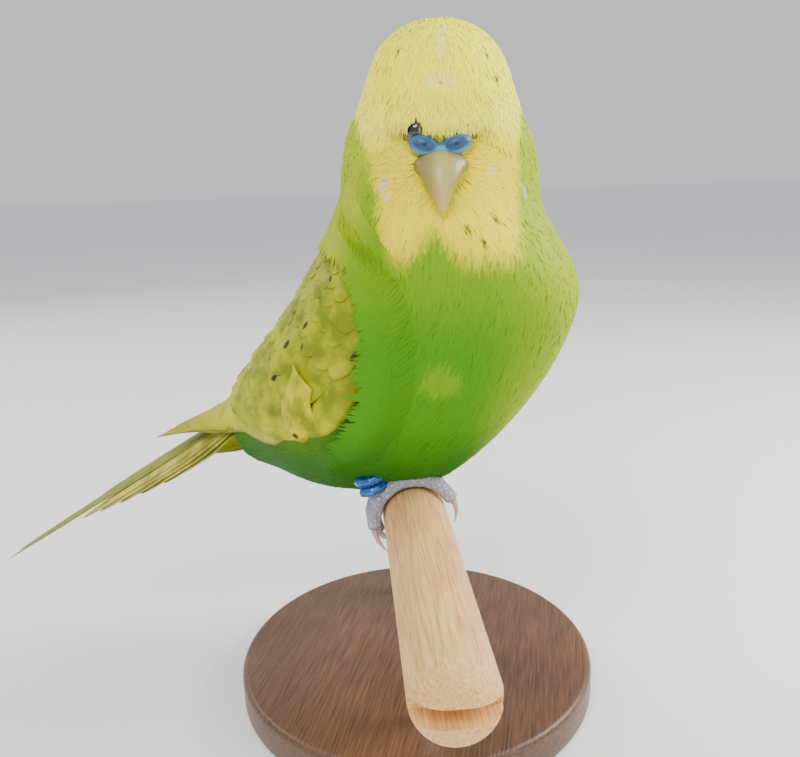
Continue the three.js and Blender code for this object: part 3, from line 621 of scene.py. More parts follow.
def comb(roots, lengths, swerve, lift):
    """Lays each blade along the coat: its points and the skin's normals there."""
    points, normals = nearest_skin(roots)
    stations, _ = place_on_body(points)
    heading = lie_of_coat(points, normals, stations)
    side = np.cross(normals, heading)
    heading = unit(heading + side * swerve[:, None])
    line = [points]
    ups = [normals]
    for step in range(3):
        reach = lengths * (BLADE_SHARES[step + 1] - BLADE_SHARES[step])
        points, normals = nearest_skin(line[-1] + heading * reach[:, None])
        heading = unit(heading - normals * np.sum(heading * normals, axis=1)[:, None])
        line.append(points)
        ups.append(normals)
    line = np.stack(line, axis=1)
    ups = np.stack(ups, axis=1)
    rise = np.array(BLADE_RISE)[None, :] * lift[:, None]
    return line + ups * rise[..., None], ups


def mesh_object(name, points, every):
    """A new piece from points in millimetres and faces that all have the same number of corners."""
    mesh = bpy.data.meshes.new(name)
    mesh.vertices.add(len(points))
    mesh.vertices.foreach_set("co", (points * 0.001).ravel())
    mesh.loops.add(every.size)
    mesh.loops.foreach_set("vertex_index", every.ravel())
    mesh.polygons.add(len(every))
    mesh.polygons.foreach_set("loop_start", np.arange(len(every)) * every.shape[1])
    mesh.update(calc_edges=True)
    piece = bpy.data.objects.new(name, mesh)
    bpy.context.scene.collection.objects.link(piece)
    return piece


def blade_mesh(name, line, ups, half_width, thick):
    """One mesh of closed blades, three corners to a ring and one point at the tip."""
    count = len(line)
    along = unit(np.gradient(line, axis=1))
    side = unit(np.cross(ups, along))
    corners = np.empty((count, 10, 3))
    for ring in range(3):
        wide = (half_width * BLADE_WIDTHS[ring])[:, None]
        centre = line[:, ring]
        corners[:, ring * 3] = centre - side[:, ring] * wide
        corners[:, ring * 3 + 1] = centre + side[:, ring] * wide
        corners[:, ring * 3 + 2] = centre + ups[:, ring] * (thick * BLADE_WIDTHS[ring])[:, None]
    corners[:, 9] = line[:, 3]
    faces = [(0, 2, 1)]
    for ring in (0, 3):
        for a, b in ((0, 1), (1, 2), (2, 0)):
            faces += [(ring + a, ring + 3 + b, ring + 3 + a), (ring + a, ring + b, ring + 3 + b)]
    faces += [(6, 7, 9), (7, 8, 9), (8, 6, 9)]
    every = (np.array(faces)[None] + (np.arange(count) * 10)[:, None, None]).reshape(-1, 3)
    piece = mesh_object(name, corners.reshape(-1, 3), every)
    mesh = piece.data
    mesh.shade_smooth()
    own = np.empty(count * 30)
    mesh.vertex_normals.foreach_get("vector", own)
    ring_of = np.array([0, 0, 0, 1, 1, 1, 2, 2, 2, 3])
    soft = unit(own.reshape(-1, 3) * 0.2 + ups[:, ring_of].reshape(-1, 3))
    mesh.normals_split_custom_set_from_vertices(soft.tolist())
    return piece, corners.reshape(-1, 3), every


def give_attribute(piece, name, values):
    attribute = piece.data.attributes.new(name, "FLOAT", "POINT")
    attribute.data.foreach_set("value", np.asarray(values, np.float32))


def give_bake_map(piece, every, corner_uv):
    layer = piece.data.uv_layers.new(name="OFBake")
    layer.data.foreach_set("uv", corner_uv[every.ravel()].astype(np.float32).ravel())


# The patch that each corner of a blade takes round its root's place, across then along.
BLADE_PATCH = np.array([
    (-1, -1), (1, -1), (0, -1), (-1, -0.2), (1, -0.2), (0, -0.2),
    (-1, 0.5), (1, 0.5), (0, 0.5), (0, 1),
]) * 0.0015


def body_map(stations, angles):
    return np.column_stack([0.02 + 0.96 * (angles / 360 + 0.5), 0.02 + 0.96 * stations / 12.5])


def carried(nodes, name):
    """The share that the mesh carries under this name."""
    node = nodes.new("ShaderNodeAttribute")
    node.attribute_name = name
    return node.outputs["Fac"]


def scaled(nodes, colour, by):
    node = nodes.new("ShaderNodeVectorMath")
    node.operation = "SCALE"
    feed(node.inputs[0], colour)
    feed(node.inputs["Scale"], by)
    return node.outputs["Vector"]


def feather_colours(material_name, roughness):
    """The plumage's colours with painted light and shade, mixed by the shares that skin and feathers carry.
    """
    material, nodes, shader = finish(material_name, roughness)
    shader.inputs["Specular IOR Level"].default_value = 0.15

    def by_share(name, low, high):
        return mix(nodes, carried(nodes, name), low, high)

    # Painted light: the green is turned lighter where the light falls.
    green = by_share("Light", paint(70, 140, 4), paint(160, 182, 6))
    # Painted shade: the green is made darker low on the body.
    lit_and_shaded_green = by_share("LowShade", green, paint(44, 104, 4))
    # Painted light: the yellow is paler on the top of the head, where the light falls.
    yellow = by_share("TopHighlight", paint(236, 216, 0), paint(255, 246, 8))
    # The yellow is whitened by painted highlights on the crown and the sides of the head, and by a pale
    # streak and the pale brow band.
    highlit_yellow = by_share("WhiteHighlightAndPale", yellow, paint(248, 240, 150))
    plumage = by_share("Yellow", lit_and_shaded_green, highlit_yellow)
    cheek = by_share("Cheek", plumage, paint(190, 196, 214))
    marked = by_share("Dark", cheek, paint(48, 40, 22))
    depth = put(nodes, "MapRange", Value=carried(nodes, "Shade"), To_Min=0.8, To_Max=1.08)
    feed(shader.inputs["Base Color"], scaled(nodes, marked, depth.outputs["Result"]))
    return material


def give_shares(piece, points, shade, root_points=None):
    """Writes the markings' shares and the painted light and shade onto a piece, from the places of its
    corners.
    """
    read_from = points if root_points is None else root_points
    stations, angles = place_on_body(read_from)
    height = read_from[:, 2] - PERCH_TOP
    turn = round_the_neck(read_from)
    # A painted highlight on the crown.
    highlight_and_streak = spot_share(read_from, [(-14.8, -18.1, 137.2, 3.6, 1.9)]) * 0.42
    # A pale streak down the crown.
    pale_streak = [(-9.3 - 0.58 * k, -15.4 - 0.3 * k, 146.3 - 0.9 * k, 0.85, 1.2) for k in range(7)]
    highlight_and_streak = np.maximum(highlight_and_streak, spot_share(points, pale_streak) * 0.55)
    # Painted rim light whitens both sides of the upper head.
    rim = soft_step(np.abs(turn), 55, 95) * soft_step(height, 68, 76)
    fringe = soft_step(height, 72, 75) * (1 - soft_step(height, 77, 82)) * 0.2
    give_attribute(piece, "Yellow", yellow_share(read_from))
    # Painted light: the green is painted lighter where the light falls, with a painted highlight on the
    # breast.
    breast_highlight = spot_share(read_from, [(-19.2, -20.2, 82.8, 4.0, 3.6)]) * 0.3
    light = np.maximum(painted_light_share(read_from, stations, angles), breast_highlight)
    give_attribute(piece, "Light", light)
    # Painted shade: darker green low on the body, but not on the lit left side.
    give_attribute(piece, "LowShade", (1 - soft_step(height, 4, 22)) * (1 - soft_step(turn, 30, 80)))
    # Painted light: paler yellow on the top of the head, where the light falls.
    give_attribute(piece, "TopHighlight", soft_step(height, 70, 78))
    give_attribute(piece, "WhiteHighlightAndPale", np.clip(highlight_and_streak + 0.45 * rim + fringe, 0, 1))
    give_attribute(piece, "Cheek", spot_share(points, CHEEKS) * 0.65)
    give_attribute(piece, "Dark", spot_share(points, FLECKS) * 0.95)
    give_attribute(piece, "Shade", shade)


def finish_blades(piece, corner_points, every, line, tones, stations, angles):
    """Gives blades their markings with painted light and shade, their map for baking and the plumage's
    material.
    """
    give_shares(piece, corner_points, tones, np.repeat(line[:, 1], 10, axis=0))
    uv = np.repeat(body_map(stations, angles), 10, axis=0)
    give_bake_map(piece, every, uv + np.tile(BLADE_PATCH, (len(line), 1)))
    piece.data.materials.append(plumage)


plumage = feather_colours("small_feathers", 0.62)
skin_points = mesh_points(skin)
give_shares(skin, skin_points, np.full(len(skin_points), 0.6))
skin.data.materials.clear()
skin.data.materials.append(plumage)
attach(skin, "root")
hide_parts("head", "neck", "torso", "rump", "thigh_right", "thigh_left")

# Where feathers grow: one to a few roots on each face of the skin, as many as the place needs.
face_count = len(skin.data.polygons)
corners_of = np.array([list(p.vertices)[:3] + [list(p.vertices)[-1]] for p in skin.data.polygons])
areas = np.empty(face_count)
skin.data.polygons.foreach_get("area", areas)
areas *= 1e6
middles = skin_points[corners_of].mean(axis=1)
middle_stations, middle_angles = place_on_body(middles)
#           station: crown, brow, neck, shoulder, breast, belly, vent
TRACTS = np.array([0, 2.0, 3.2, 4.5, 6.0, 8.0, 10.0])
TRACT_LENGTH = (3.6, 3.8, 4.6, 5.8, 7.2, 8.0, 7.4)
TRACT_WIDTH = (0.56, 0.54, 0.56, 0.66, 0.74, 0.72, 0.70)
TRACT_COUNT = (11.0, 10.0, 8.0, 6.0, 4.8, 4.6, 4.6)
bill_gap = np.linalg.norm(middles - BILL_CENTRE, axis=1)
face_share = 1 - soft_step(bill_gap, 7, 14)
crowd = np.interp(middle_stations, TRACTS, TRACT_COUNT) * (1 + 0.8 * face_share)
wanted = np.floor(areas * crowd + rng.random(face_count)).astype(int)
owner = np.repeat(np.arange(face_count), wanted)
a, b = rng.random((2, len(owner), 1))
four = skin_points[corners_of[owner]]
roots = (
    four[:, 0] * (1 - a) * (1 - b) + four[:, 1] * a * (1 - b) + four[:, 2] * a * b + four[:, 3] * (1 - a) * b
)

# None grows inside the bill, the cere, the eyes or the perch, or under the closed wings.
hard_points = []
hard_faces = []
for name in ("cere", "bill_upper", "bill_lower", "eye_right", "eye_left", "perch"):
    solid = frame["nodes"][name].data
    first = len(hard_points)
    hard_points += [list(v.co * 1000) for v in solid.vertices]
    hard_faces += [[first + v for v in face.vertices] for face in solid.polygons]
hard_parts = BVHTree.FromPolygons(hard_points, hard_faces)
root_stations = middle_stations[owner]
root_angles = middle_angles[owner]
keep = np.ones(len(roots), bool)
for i, point in enumerate(roots.tolist()):
    place, normal, _, gap = hard_parts.find_nearest(point)
    if gap < 0.35 or (Vector(point) - place).dot(normal) < 0 and gap < 6:
        keep[i] = False
under = np.interp(root_stations, [4.4, 5, 6, 7, 8, 9, 9.6], [48, 30, 22, 20, 20, 22, 26])
over = np.interp(root_stations, [4.4, 5, 6, 7, 8, 9, 9.6], [50, 80, 90, 92, 92, 82, 60])
hidden = (root_stations > 4.6) & (root_stations < 9.4)
hidden &= (np.abs(root_angles) > under) & (np.abs(root_angles) < over)
keep &= ~hidden
roots, root_stations, root_angles, owner = (
    roots[keep], root_stations[keep], root_angles[keep], owner[keep]
)

order = np.argsort(root_stations, kind="stable")
roots, root_stations, root_angles, owner = (
    roots[order], root_stations[order], root_angles[order], owner[order]
)
near_bill = face_share[owner]
count = len(roots)
lengths = np.interp(root_stations, TRACTS, TRACT_LENGTH) * (1 - 0.45 * near_bill)
lengths *= rng.uniform(0.8, 1.2, count)
half_widths = 0.5 * np.interp(root_stations, TRACTS, TRACT_WIDTH) * (1 - 0.4 * near_bill)
half_widths *= rng.uniform(0.8, 1.25, count)
lifts = (0.8 - 0.3 * near_bill) * rng.uniform(0.68, 1.08, count)
line, ups = comb(roots, lengths, rng.normal(0, 0.13, count), lifts)
open_eye = on_head(15.7, 4.5, 73.3)
clear = np.linalg.norm(line - open_eye, axis=2).min(axis=1) > 1.6
line, ups, lengths, half_widths = line[clear], ups[clear], lengths[clear], half_widths[clear]
root_stations, root_angles = root_stations[clear], root_angles[clear]
count = len(line)
shade = np.clip(rng.normal(0.66, 0.11, count), 0, 1)
PIECE = 12000
for k, first in enumerate(range(0, count, PIECE)):
    part = slice(first, min(first + PIECE, count))
    piece, corner_points, every = blade_mesh(
        f"coat_{k + 1}", line[part], ups[part], half_widths[part], half_widths[part] * 0.45
    )
    number = len(line[part])
    tip_tone = np.tile([-0.2, -0.2, -0.2, 0, 0, 0.03, 0.05, 0.05, 0.08, 0.14], number)
    tones = np.clip(np.repeat(shade[part], 10) + tip_tone, 0, 1)
    finish_blades(
        piece, corner_points, every, line[part], tones, root_stations[part], root_angles[part]
    )
    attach(piece, "root")


# Wings
# Each wing is closed on its flank, with the flight feathers under rows of coverts like roof tiles.
# A feather is a thin vane with a quill down its middle, rooted under the row before it.
def vane_shape(share, waist, point):
    """How wide a feather is along its length, as a share of its half width."""
    root = 0.45 + 0.55 * soft_step(share, 0, waist)
    tip = np.clip((share - waist) / (1 - waist), 0, 1)
    return np.where(share < waist, root, np.maximum(1 - tip**point, 0) ** 0.5 * 0.97 + 0.03)


VANE_ROWS = 13
VANE_COLUMNS = 9
vane_shares = 1 - (1 - np.linspace(0, 1, VANE_ROWS)) ** 1.5
vane_across = np.linspace(-1, 1, VANE_COLUMNS)


def wing_vane(side, root, tip, half, waist=0.62, point=2.4, cup=0.045, sag=0):
    """The grid of a wing feather's points, from its root to its tip, each a station, an angle
    from the middle of the back and a lift over the body. It sags down the flank between them."""
    share = vane_shares[:, None]
    ragged = 1 + rng.normal(0, 0.035, (VANE_ROWS, 2))
    width = half * vane_shape(vane_shares, waist, point)
    across = vane_across[None] * width[:, None]
    across *= np.where(vane_across[None] < 0, ragged[:, :1], ragged[:, 1:])
    station = root[0] + (tip[0] - root[0]) * share + 0 * across
    station = station + 0.02 * (np.abs(across) / half) ** 2 * (share < 0.99) * -1
    middle = root[1] + (tip[1] - root[1]) * share**0.9 + sag * 4 * share * (1 - share)
    lift = root[2] + (tip[2] - root[2]) * share - cup * across**2
    one = on_trunk(station, -side * (middle + 1) + 0 * across)
    other = on_trunk(station, -side * (middle - 1) + 0 * across)
    reach = np.linalg.norm(one - other, axis=-1) / 2
    angle = -side * (middle + across / reach)
    return over_trunk(station, angle, lift)


def vane_mesh(name, vanes, thick):
    """One mesh of closed vanes. Each has its own patch of both maps: Vane, whole for each
    feather, and OFBake, side by side."""
    count = len(vanes)
    grids = np.stack([v[0] for v in vanes])
    ups = np.stack([v[1] for v in vanes])
    rows, columns = VANE_ROWS, VANE_COLUMNS
    thin = thick * (1 - 0.75 * vane_shares)[None, :, None, None]
    thin = thin * (1 - 0.7 * np.abs(vane_across) ** 3)[None, None, :, None]
    points = np.concatenate([grids + ups * thin / 2, grids - ups * thin / 2], axis=1)
    points = points.reshape(count, -1, 3)
    at = np.arange(rows * columns).reshape(rows, columns)
    below = at + rows * columns
    quads = []
    for r in range(rows - 1):
        for c in range(columns - 1):
            quads.append((at[r, c], at[r, c + 1], at[r + 1, c + 1], at[r + 1, c]))
            quads.append((below[r, c], below[r + 1, c], below[r + 1, c + 1], below[r, c + 1]))
    for c in range(columns - 1):
        quads.append((at[0, c + 1], at[0, c], below[0, c], below[0, c + 1]))
        quads.append((at[-1, c], at[-1, c + 1], below[-1, c + 1], below[-1, c]))
    for r in range(rows - 1):
        quads.append((at[r, 0], at[r + 1, 0], below[r + 1, 0], below[r, 0]))
        quads.append((at[r + 1, -1], at[r, -1], below[r, -1], below[r + 1, -1]))
    each = rows * columns * 2
    every = np.array(quads)[None] + (np.arange(count) * each)[:, None, None]
    forward = grids[:, 6, 4] - grids[:, 5, 4]
    sideways = grids[:, 6, 5] - grids[:, 6, 4]
    inside_out = np.sum(np.cross(forward, sideways) * ups[:, 6, 4], axis=1) > 0
    every[inside_out] = every[inside_out][:, :, ::-1]
    every = every.reshape(-1, 4)
    piece = mesh_object(name, points.reshape(-1, 3), every)
    mesh = piece.data
    u, v = np.meshgrid((vane_across + 1) / 2, vane_shares)
    flat = np.tile(np.column_stack([u.ravel(), v.ravel()]), (2, 1))
    own = np.tile(flat, (count, 1))
    layer = mesh.uv_layers.new(name="Vane")
    layer.data.foreach_set("uv", own[every.ravel()].astype(np.float32).ravel())
    cells = math.ceil(math.sqrt(count * 2))
    number = np.repeat(np.arange(count), each) * 2
    number += np.tile(np.repeat([0, 1], rows * columns), count)
    corner = np.column_stack([number % cells, number // cells])
    packed = (corner + 0.06 + 0.88 * own) / cells
    layer = mesh.uv_layers.new(name="OFBake")
    layer.data.foreach_set("uv", packed[every.ravel()].astype(np.float32).ravel())
    for label, place in (("Warm", 2), ("Edge", 3), ("Shade", 4)):
        give_attribute(piece, label, np.repeat([v[place] for v in vanes], each))
    give_attribute(piece, "FleckAcross", np.full(count * each, 5.0))
    give_attribute(piece, "FleckAlong", np.full(count * each, 5.0))
    mesh.shade_smooth()
    return piece


def give_flecks(piece, vanes, spots):
    """A dark fleck on the feather that lies outermost at each place, kept as its place on the vane."""
    each = VANE_ROWS * VANE_COLUMNS * 2
    tops = np.stack([v[0] for v in vanes])
    ups = np.stack([v[1] for v in vanes])
    across = np.full(len(vanes), 5.0)
    along = np.full(len(vanes), 5.0)
    for spot in spots:
        offset = tops - np.array(spot)
        outward = np.sum(offset * ups, axis=-1)
        gap = np.linalg.norm(offset - ups * outward[..., None], axis=-1) - 0.35 * outward
        gap[:, vane_shares < 0.5] += 3
        gap[:, :, np.abs(vane_across) > 0.7] += 1
        which, row, column = np.unravel_index(np.argmin(gap), gap.shape)
        across[which] = (vane_across[column] + 1) / 2
        along[which] = vane_shares[row]
    for label, places in (("FleckAcross", across), ("FleckAlong", along)):
        values = np.repeat(places, each).astype(np.float32)
        piece.data.attributes[label].data.foreach_set("value", values)


def lerp(low, high, share):
    return low + (high - low) * share


WING_TIP = 11.3


def wing_rows(side):
    """All the feathers of one wing: grid, ups, warmth, edge and shade of each."""
    vanes = []

    def add(grid, warm, edge):
        vanes.append((*grid, warm, edge, rng.normal(0.5, 0.12)))

    def on_wing(root, tip, half, **more):
        jog = rng.normal(0, 0.05)
        turned = rng.normal(0, 1.0)
        if side < 0:
            turned -= 16 * soft_step(tip[0], 8.4, 9.4) * soft_step(tip[1], 40, 80)
        start = (root[0] + jog, root[1] + min(turned, 0) * 0.6, root[2])
        return wing_vane(side, start, (tip[0] + jog, tip[1] + turned, tip[2]), half, **more)

    for i in range(9):
        share = i / 8
        short = np.interp(share, (0, 0.2, 0.4, 0.6, 0.8, 1), (0.3, 0, 0.2, 0.55, 1, 1.45))
        add(
            on_wing(
                (7.6 + 0.1 * share, 98 - 40 * share, 1.7 + 0.7 * share),
                (WING_TIP - short, 50 - 18 * share, 0.9 + 1.6 * share),
                3.8 - 0.1 * share,
                waist=0.62,
                point=1.9,
                sag=(36 if side > 0 else -14) * (1 - share),
            ),
            0.25,
            1.0,
        )
    for i in range(9):
        share = i / 8
        add(
            on_wing(
                (7.3, 100 - 82 * share, 2.2),
                (9.5 - 0.45 * share, 92 - 76 * share, 3.0 + 1.0 * share),
                3.4,
                sag=8 * (1 - share),
            ),
            0.5,
            0.8,
        )
    for i in range(10):
        share = i / 9
        add(
            on_wing(
                (6.3, 100 - 86 * share, 2.3),
                (8.4 - 0.35 * share, 101 - 87 * share, 4.0 + 0.3 * (i % 2)),
                3.5,
            ),
            0.6,
            0.6,
        )
    for i in range(9):
        share = i / 8
        add(
            on_wing((5.5, 97 - 79 * share, 2.2), (7.3, 106 - 86 * share, 4.1 + 0.3 * (i % 2)), 3.5),
            0.5,
            0.45,
        )
    for row in range(5):
        for i in range(8):
            share = (i + 0.5 * (row % 2)) / 8
            top = 22 + 4 * row
            add(
                on_wing(
                    (5.15 - 0.24 * row, 95 - 4 * row - (92 - top) * share, 1.9 - 0.45 * row),
                    (6.55 - 0.3 * row, 98 - 4 * row - (94 - top) * share, 3.9 - 0.25 * row),
                    2.9 - 0.12 * row,
                ),
                0.4,
                0.35,
            )
    add(on_wing((6.75, 88, 4.6), (7.5, 104, 4.9), 5.4, waist=0.55, point=1.5), 1.0, 0.25)
    return vanes


def vane_finish(name, middle, edge, warm, quill, line, rim_power=2.6):
    """Feather vanes: barbs slant off a quill, and each feather's edge has a tone of its own."""
    material, nodes, shader = finish(name, 0.55)
    shader.inputs["Specular IOR Level"].default_value = 0.2
    own = nodes.new("ShaderNodeUVMap")
    own.uv_map = "Vane"
    split = put(nodes, "SeparateXYZ", Vector=own.outputs["UV"])

    def step(operation, *values):
        return sums(nodes, operation, *values)

    off_quill = step("ABSOLUTE", step("MULTIPLY_ADD", split.outputs["X"], 2, -1))
    along = split.outputs["Y"]
    rim = step("MAXIMUM", step("POWER", off_quill, rim_power), step("POWER", along, 5))
    rim = step("MULTIPLY", rim, carried(nodes, "Edge"))
    barb_place = step("SUBTRACT", step("MULTIPLY", along, 60), step("MULTIPLY", off_quill, 12))
    barbs = step("SINE", step("MULTIPLY", barb_place, 6.283))
    base = mix(nodes, carried(nodes, "Warm"), middle, warm)
    base = mix(nodes, rim, base, edge)
    from_tip = step("MULTIPLY", step("SUBTRACT", 1, along), 0.35)
    dusk = step("MULTIPLY", step("SUBTRACT", 1, off_quill), from_tip)
    base = mix(nodes, dusk, base, line)
    shaft = step("LESS_THAN", off_quill, 0.06)
    base = mix(nodes, step("MULTIPLY", shaft, 0.5), base, quill)
    mottle = noise(nodes, 210, 4)
    patchy = put(nodes, "MapRange", Value=mottle, From_Min=0.4, From_Max=0.64, To_Max=0.8)
    base = mix(nodes, patchy.outputs["Result"], base, line)
    cloud = step("MULTIPLY_ADD", noise(nodes, 14, 2, own.outputs["UV"]), 0.16, 0.82)
    tone = step("MULTIPLY_ADD", barbs, 0.035, cloud)
    tone = step("MULTIPLY_ADD", carried(nodes, "Shade"), 0.22, tone)
    fleck_x = step("MULTIPLY", step("SUBTRACT", split.outputs["X"], carried(nodes, "FleckAcross")), 11)
    fleck_y = step("MULTIPLY", step("SUBTRACT", along, carried(nodes, "FleckAlong")), 20)
    off_fleck = step("MULTIPLY_ADD", fleck_x, fleck_x, step("MULTIPLY", fleck_y, fleck_y))
    off_fleck = step("SQRT", off_fleck)
    fleck = put(nodes, "MapRange", Value=off_fleck, From_Min=1.15, From_Max=0.7)
    base = mix(nodes, fleck.outputs["Result"], base, paint(52, 50, 22))
    feed(shader.inputs["Base Color"], scaled(nodes, base, tone))
    height = step("MULTIPLY_ADD", barbs, 0.25, step("MULTIPLY", shaft, 1.2))
    add_bump(nodes, shader, height, 0.35, 0.00012)
    return material


# Dark flecks that show on the right wing's coverts.
WING_FLECKS = [
    (-25.2, 1.2, 101.0),
    (-25.3, -5.1, 100.1),
    (-22.6, 14.3, 91.9),
    (-26.2, 6.8, 91.5),
    (-26.9, 8.5, 87.7),
    (-25.8, 13.4, 86.7),
    (-25.9, -4.9, 86.4),
    (-25.6, 16.4, 79.0),
    (-22.4, 10.7, 69.3),
]
covert_vanes = vane_finish(
    "wing_coverts",
    paint(118, 136, 0),
    paint(194, 200, 12),
    paint(206, 194, 0),
    paint(150, 158, 10),
    paint(92, 114, 0),
)
flight_vanes = vane_finish(
    "flight_feathers",
    paint(196, 194, 44),
    paint(98, 90, 40),
    paint(206, 198, 50),
    paint(170, 164, 70),
    paint(152, 158, 30),
    rim_power=4.5,
)
FLIGHT = 9
MIRROR_PLANE = 0.5
for word, side in (("right", 1), ("left", -1)):
    vanes = wing_rows(side)
    for name, group, look in (
        ("flight_feathers", vanes[:FLIGHT], flight_vanes),
        ("wing_coverts", vanes[FLIGHT:], covert_vanes),
    ):
        piece = vane_mesh(f"{name}_{word}", group, 0.3)
        if name == "wing_coverts":
            mirrored = [(x if side > 0 else 2 * MIRROR_PLANE - x, y, z) for x, y, z in WING_FLECKS]
            give_flecks(piece, group, mirrored)
        piece.data.materials.append(look)
        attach(piece, "root")
        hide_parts(f"wing_{word}")


# Shoulder feathers
# Soft body feathers lie over the top and the front edge of each closed wing, so that the wing seems
# to grow out of the breast. They are thin closed blades, laid from the body onto the coverts.
FRONT_STATIONS = (4.6, 5, 5.45, 5.95, 6.25, 6.6, 7, 7.4)
FRONT_ANGLES = (92, 99, 106, 113, 118, 123, 127, 128)
for word, side in (("right", 1), ("left", -1)):
    top_count = 2600
    front_count = 2400
    total = top_count + front_count
    on_top = np.arange(total) < top_count
    starts = np.where(on_top, rng.uniform(3.6, 4.75, total), rng.uniform(4.5, 6.95, total))
    front = np.interp(starts, FRONT_STATIONS, FRONT_ANGLES)
    first_angle = np.where(on_top, rng.uniform(22, 106, total), front + rng.uniform(-5, 7, total))
    reach = np.where(on_top, rng.uniform(4.6, 6.8, total), rng.uniform(4.0, 6.0, total))
    one = on_trunk(starts, -side * first_angle)
    step = np.linalg.norm(on_trunk(starts + 0.1, -side * first_angle) - one, axis=1) * 10
    drift = np.where(on_top, 0, -6) + rng.normal(0, 2.0, total)
    line = []
    ups = []
    for share in BLADE_SHARES:
        station = starts + reach / step * share
        angle = first_angle + drift * share
        front = np.interp(station, FRONT_STATIONS, FRONT_ANGLES)
        over_wing = soft_step(front - angle, -6, 8) * soft_step(station, 3.8, 4.5)
        wing_lift = np.interp(station, (4.2, 4.6, 5.3, 6.3, 7.4), (1.2, 1.9, 3.2, 4.1, 4.8)) + 0.3
        coat_lift = -0.95 + 0.85 * min(share * 2, 1)
        point, up = over_trunk(station, -side * angle, lerp(coat_lift, wing_lift, over_wing))
        line.append(point)
        ups.append(up)
    line = np.stack(line, axis=1)
    ups = np.stack(ups, axis=1)
    width = rng.uniform(0.3, 0.48, total)
    piece, corner_points, every = blade_mesh(f"coat_shoulder_{word}", line, ups, width, width * 0.4)
    tones = np.repeat(np.clip(rng.normal(0.62, 0.13, total), 0, 1), 10)
    finish_blades(piece, corner_points, every, line, tones, starts, -side * first_angle)
    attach(piece, "root")


# Tail
# Twelve graduated feathers, six a side, of which the middle pair is long and narrow. They are rooted
# in the rump, slope down and back, and are rolled a little to the bird's right.
TAIL_HEADING = math.radians(17.5)
TAIL_DROP = math.radians(31.7)
TAIL_ROLL = math.radians(16)
TAIL_LENGTH = 97
tail_root = np.array([-5, 38, 15.5 + PERCH_TOP])
tail_along = np.array([
    -math.sin(TAIL_HEADING) * math.cos(TAIL_DROP),
    math.cos(TAIL_HEADING) * math.cos(TAIL_DROP),
    -math.sin(TAIL_DROP),
])
tail_up = unit(np.array([0, 0, 1]) - tail_along * tail_along[2])
tail_up = np.array(Matrix.Rotation(-TAIL_ROLL, 3, Vector(tail_along)) @ Vector(tail_up))
tail_left = np.cross(tail_along, tail_up)
# From the middle out: length as a share, half width, lean in degrees, offset and drop.
TAIL_PAIRS = (
    (1, 3.3, 0.2, 0.8, 0),
    (0.66, 4.0, 2.6, 1.6, 0.55),
    (0.58, 4.1, 4.2, 2.3, 1.0),
    (0.5, 4.1, 5.8, 3, 1.5),
    (0.42, 4.0, 7.4, 3.6, 2.1),
    (0.34, 3.8, 9, 4.1, 2.8),
)
tail_vanes = []
for number, (length, half, lean, offset, drop) in enumerate(TAIL_PAIRS):
    for side in (1, -1):
        reach = TAIL_LENGTH * length * (1 + (0.02 if side > 0 else -0.01))
        share = vane_shares[:, None]
        ragged = 1 + rng.normal(0, 0.03, (VANE_ROWS, 2))
        width = half * vane_shape(vane_shares, 0.42 if number else 0.3, 1.5)
        if number == 0:
            width = width * (1 - 0.35 * vane_shares)
        across = vane_across[None] * width[:, None]
        across = across * np.where(vane_across[None] < 0, ragged[:, :1], ragged[:, 1:])
        along = reach * share + 0 * across
        left = -side * (offset + along * math.sin(math.radians(lean))) + across
        roof = -drop * (0.4 + 0.6 * np.minimum(1, share * 2)) - 0.03 * across**2
        roof = roof + (0.15 if side > 0 else 0)
        grid = tail_root + along[..., None] * tail_along + left[..., None] * tail_left
        grid = grid + roof[..., None] * tail_up
        ups = np.broadcast_to(tail_up, grid.shape)
        warm, edge = (0.0, 0.35) if number == 0 else (1.0, 0.9)
        tail_vanes.append((grid, ups, warm, edge, rng.normal(0.5, 0.1)))
tail = vane_mesh("tail_feathers", tail_vanes, 0.35)
tail.data.materials.append(
    vane_finish(
        "tail_feathers",
        paint(132, 142, 34),
        paint(150, 134, 84),
        paint(212, 206, 84),
        paint(206, 198, 110),
        paint(120, 128, 30),
        rim_power=7,
    )
)
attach(tail, "root")
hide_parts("tail")


# Bill and cere
# The upper bill is a smooth hooked horn, pressed into the breast feathers, with the short lower
# bill under it. The cere is two soft swollen lobes over the bill's root, with a pit for each nostril.
BILL_TOP = 67.0
UPPER_BILL = np.array([
    (11.5, BILL_TOP + 0.3, 4.8, 2.7),
    (15.2, BILL_TOP + 0.4, 5.1, 2.7),
    (18.0, BILL_TOP - 1.3, 3.9, 2.3),
    (20.1, BILL_TOP - 4.3, 2.3, 1.6),
    (21.0, BILL_TOP - 6.8, 1.1, 0.9),
    (20.8, BILL_TOP - 8.6, 0.35, 0.3),
])
LOWER_BILL = np.array([
    (11.5, BILL_TOP - 3.9, 3.5, 1.3),
    (15.2, BILL_TOP - 4.6, 3.3, 1.2),
    (17.4, BILL_TOP - 5.9, 1.6, 0.6),
])


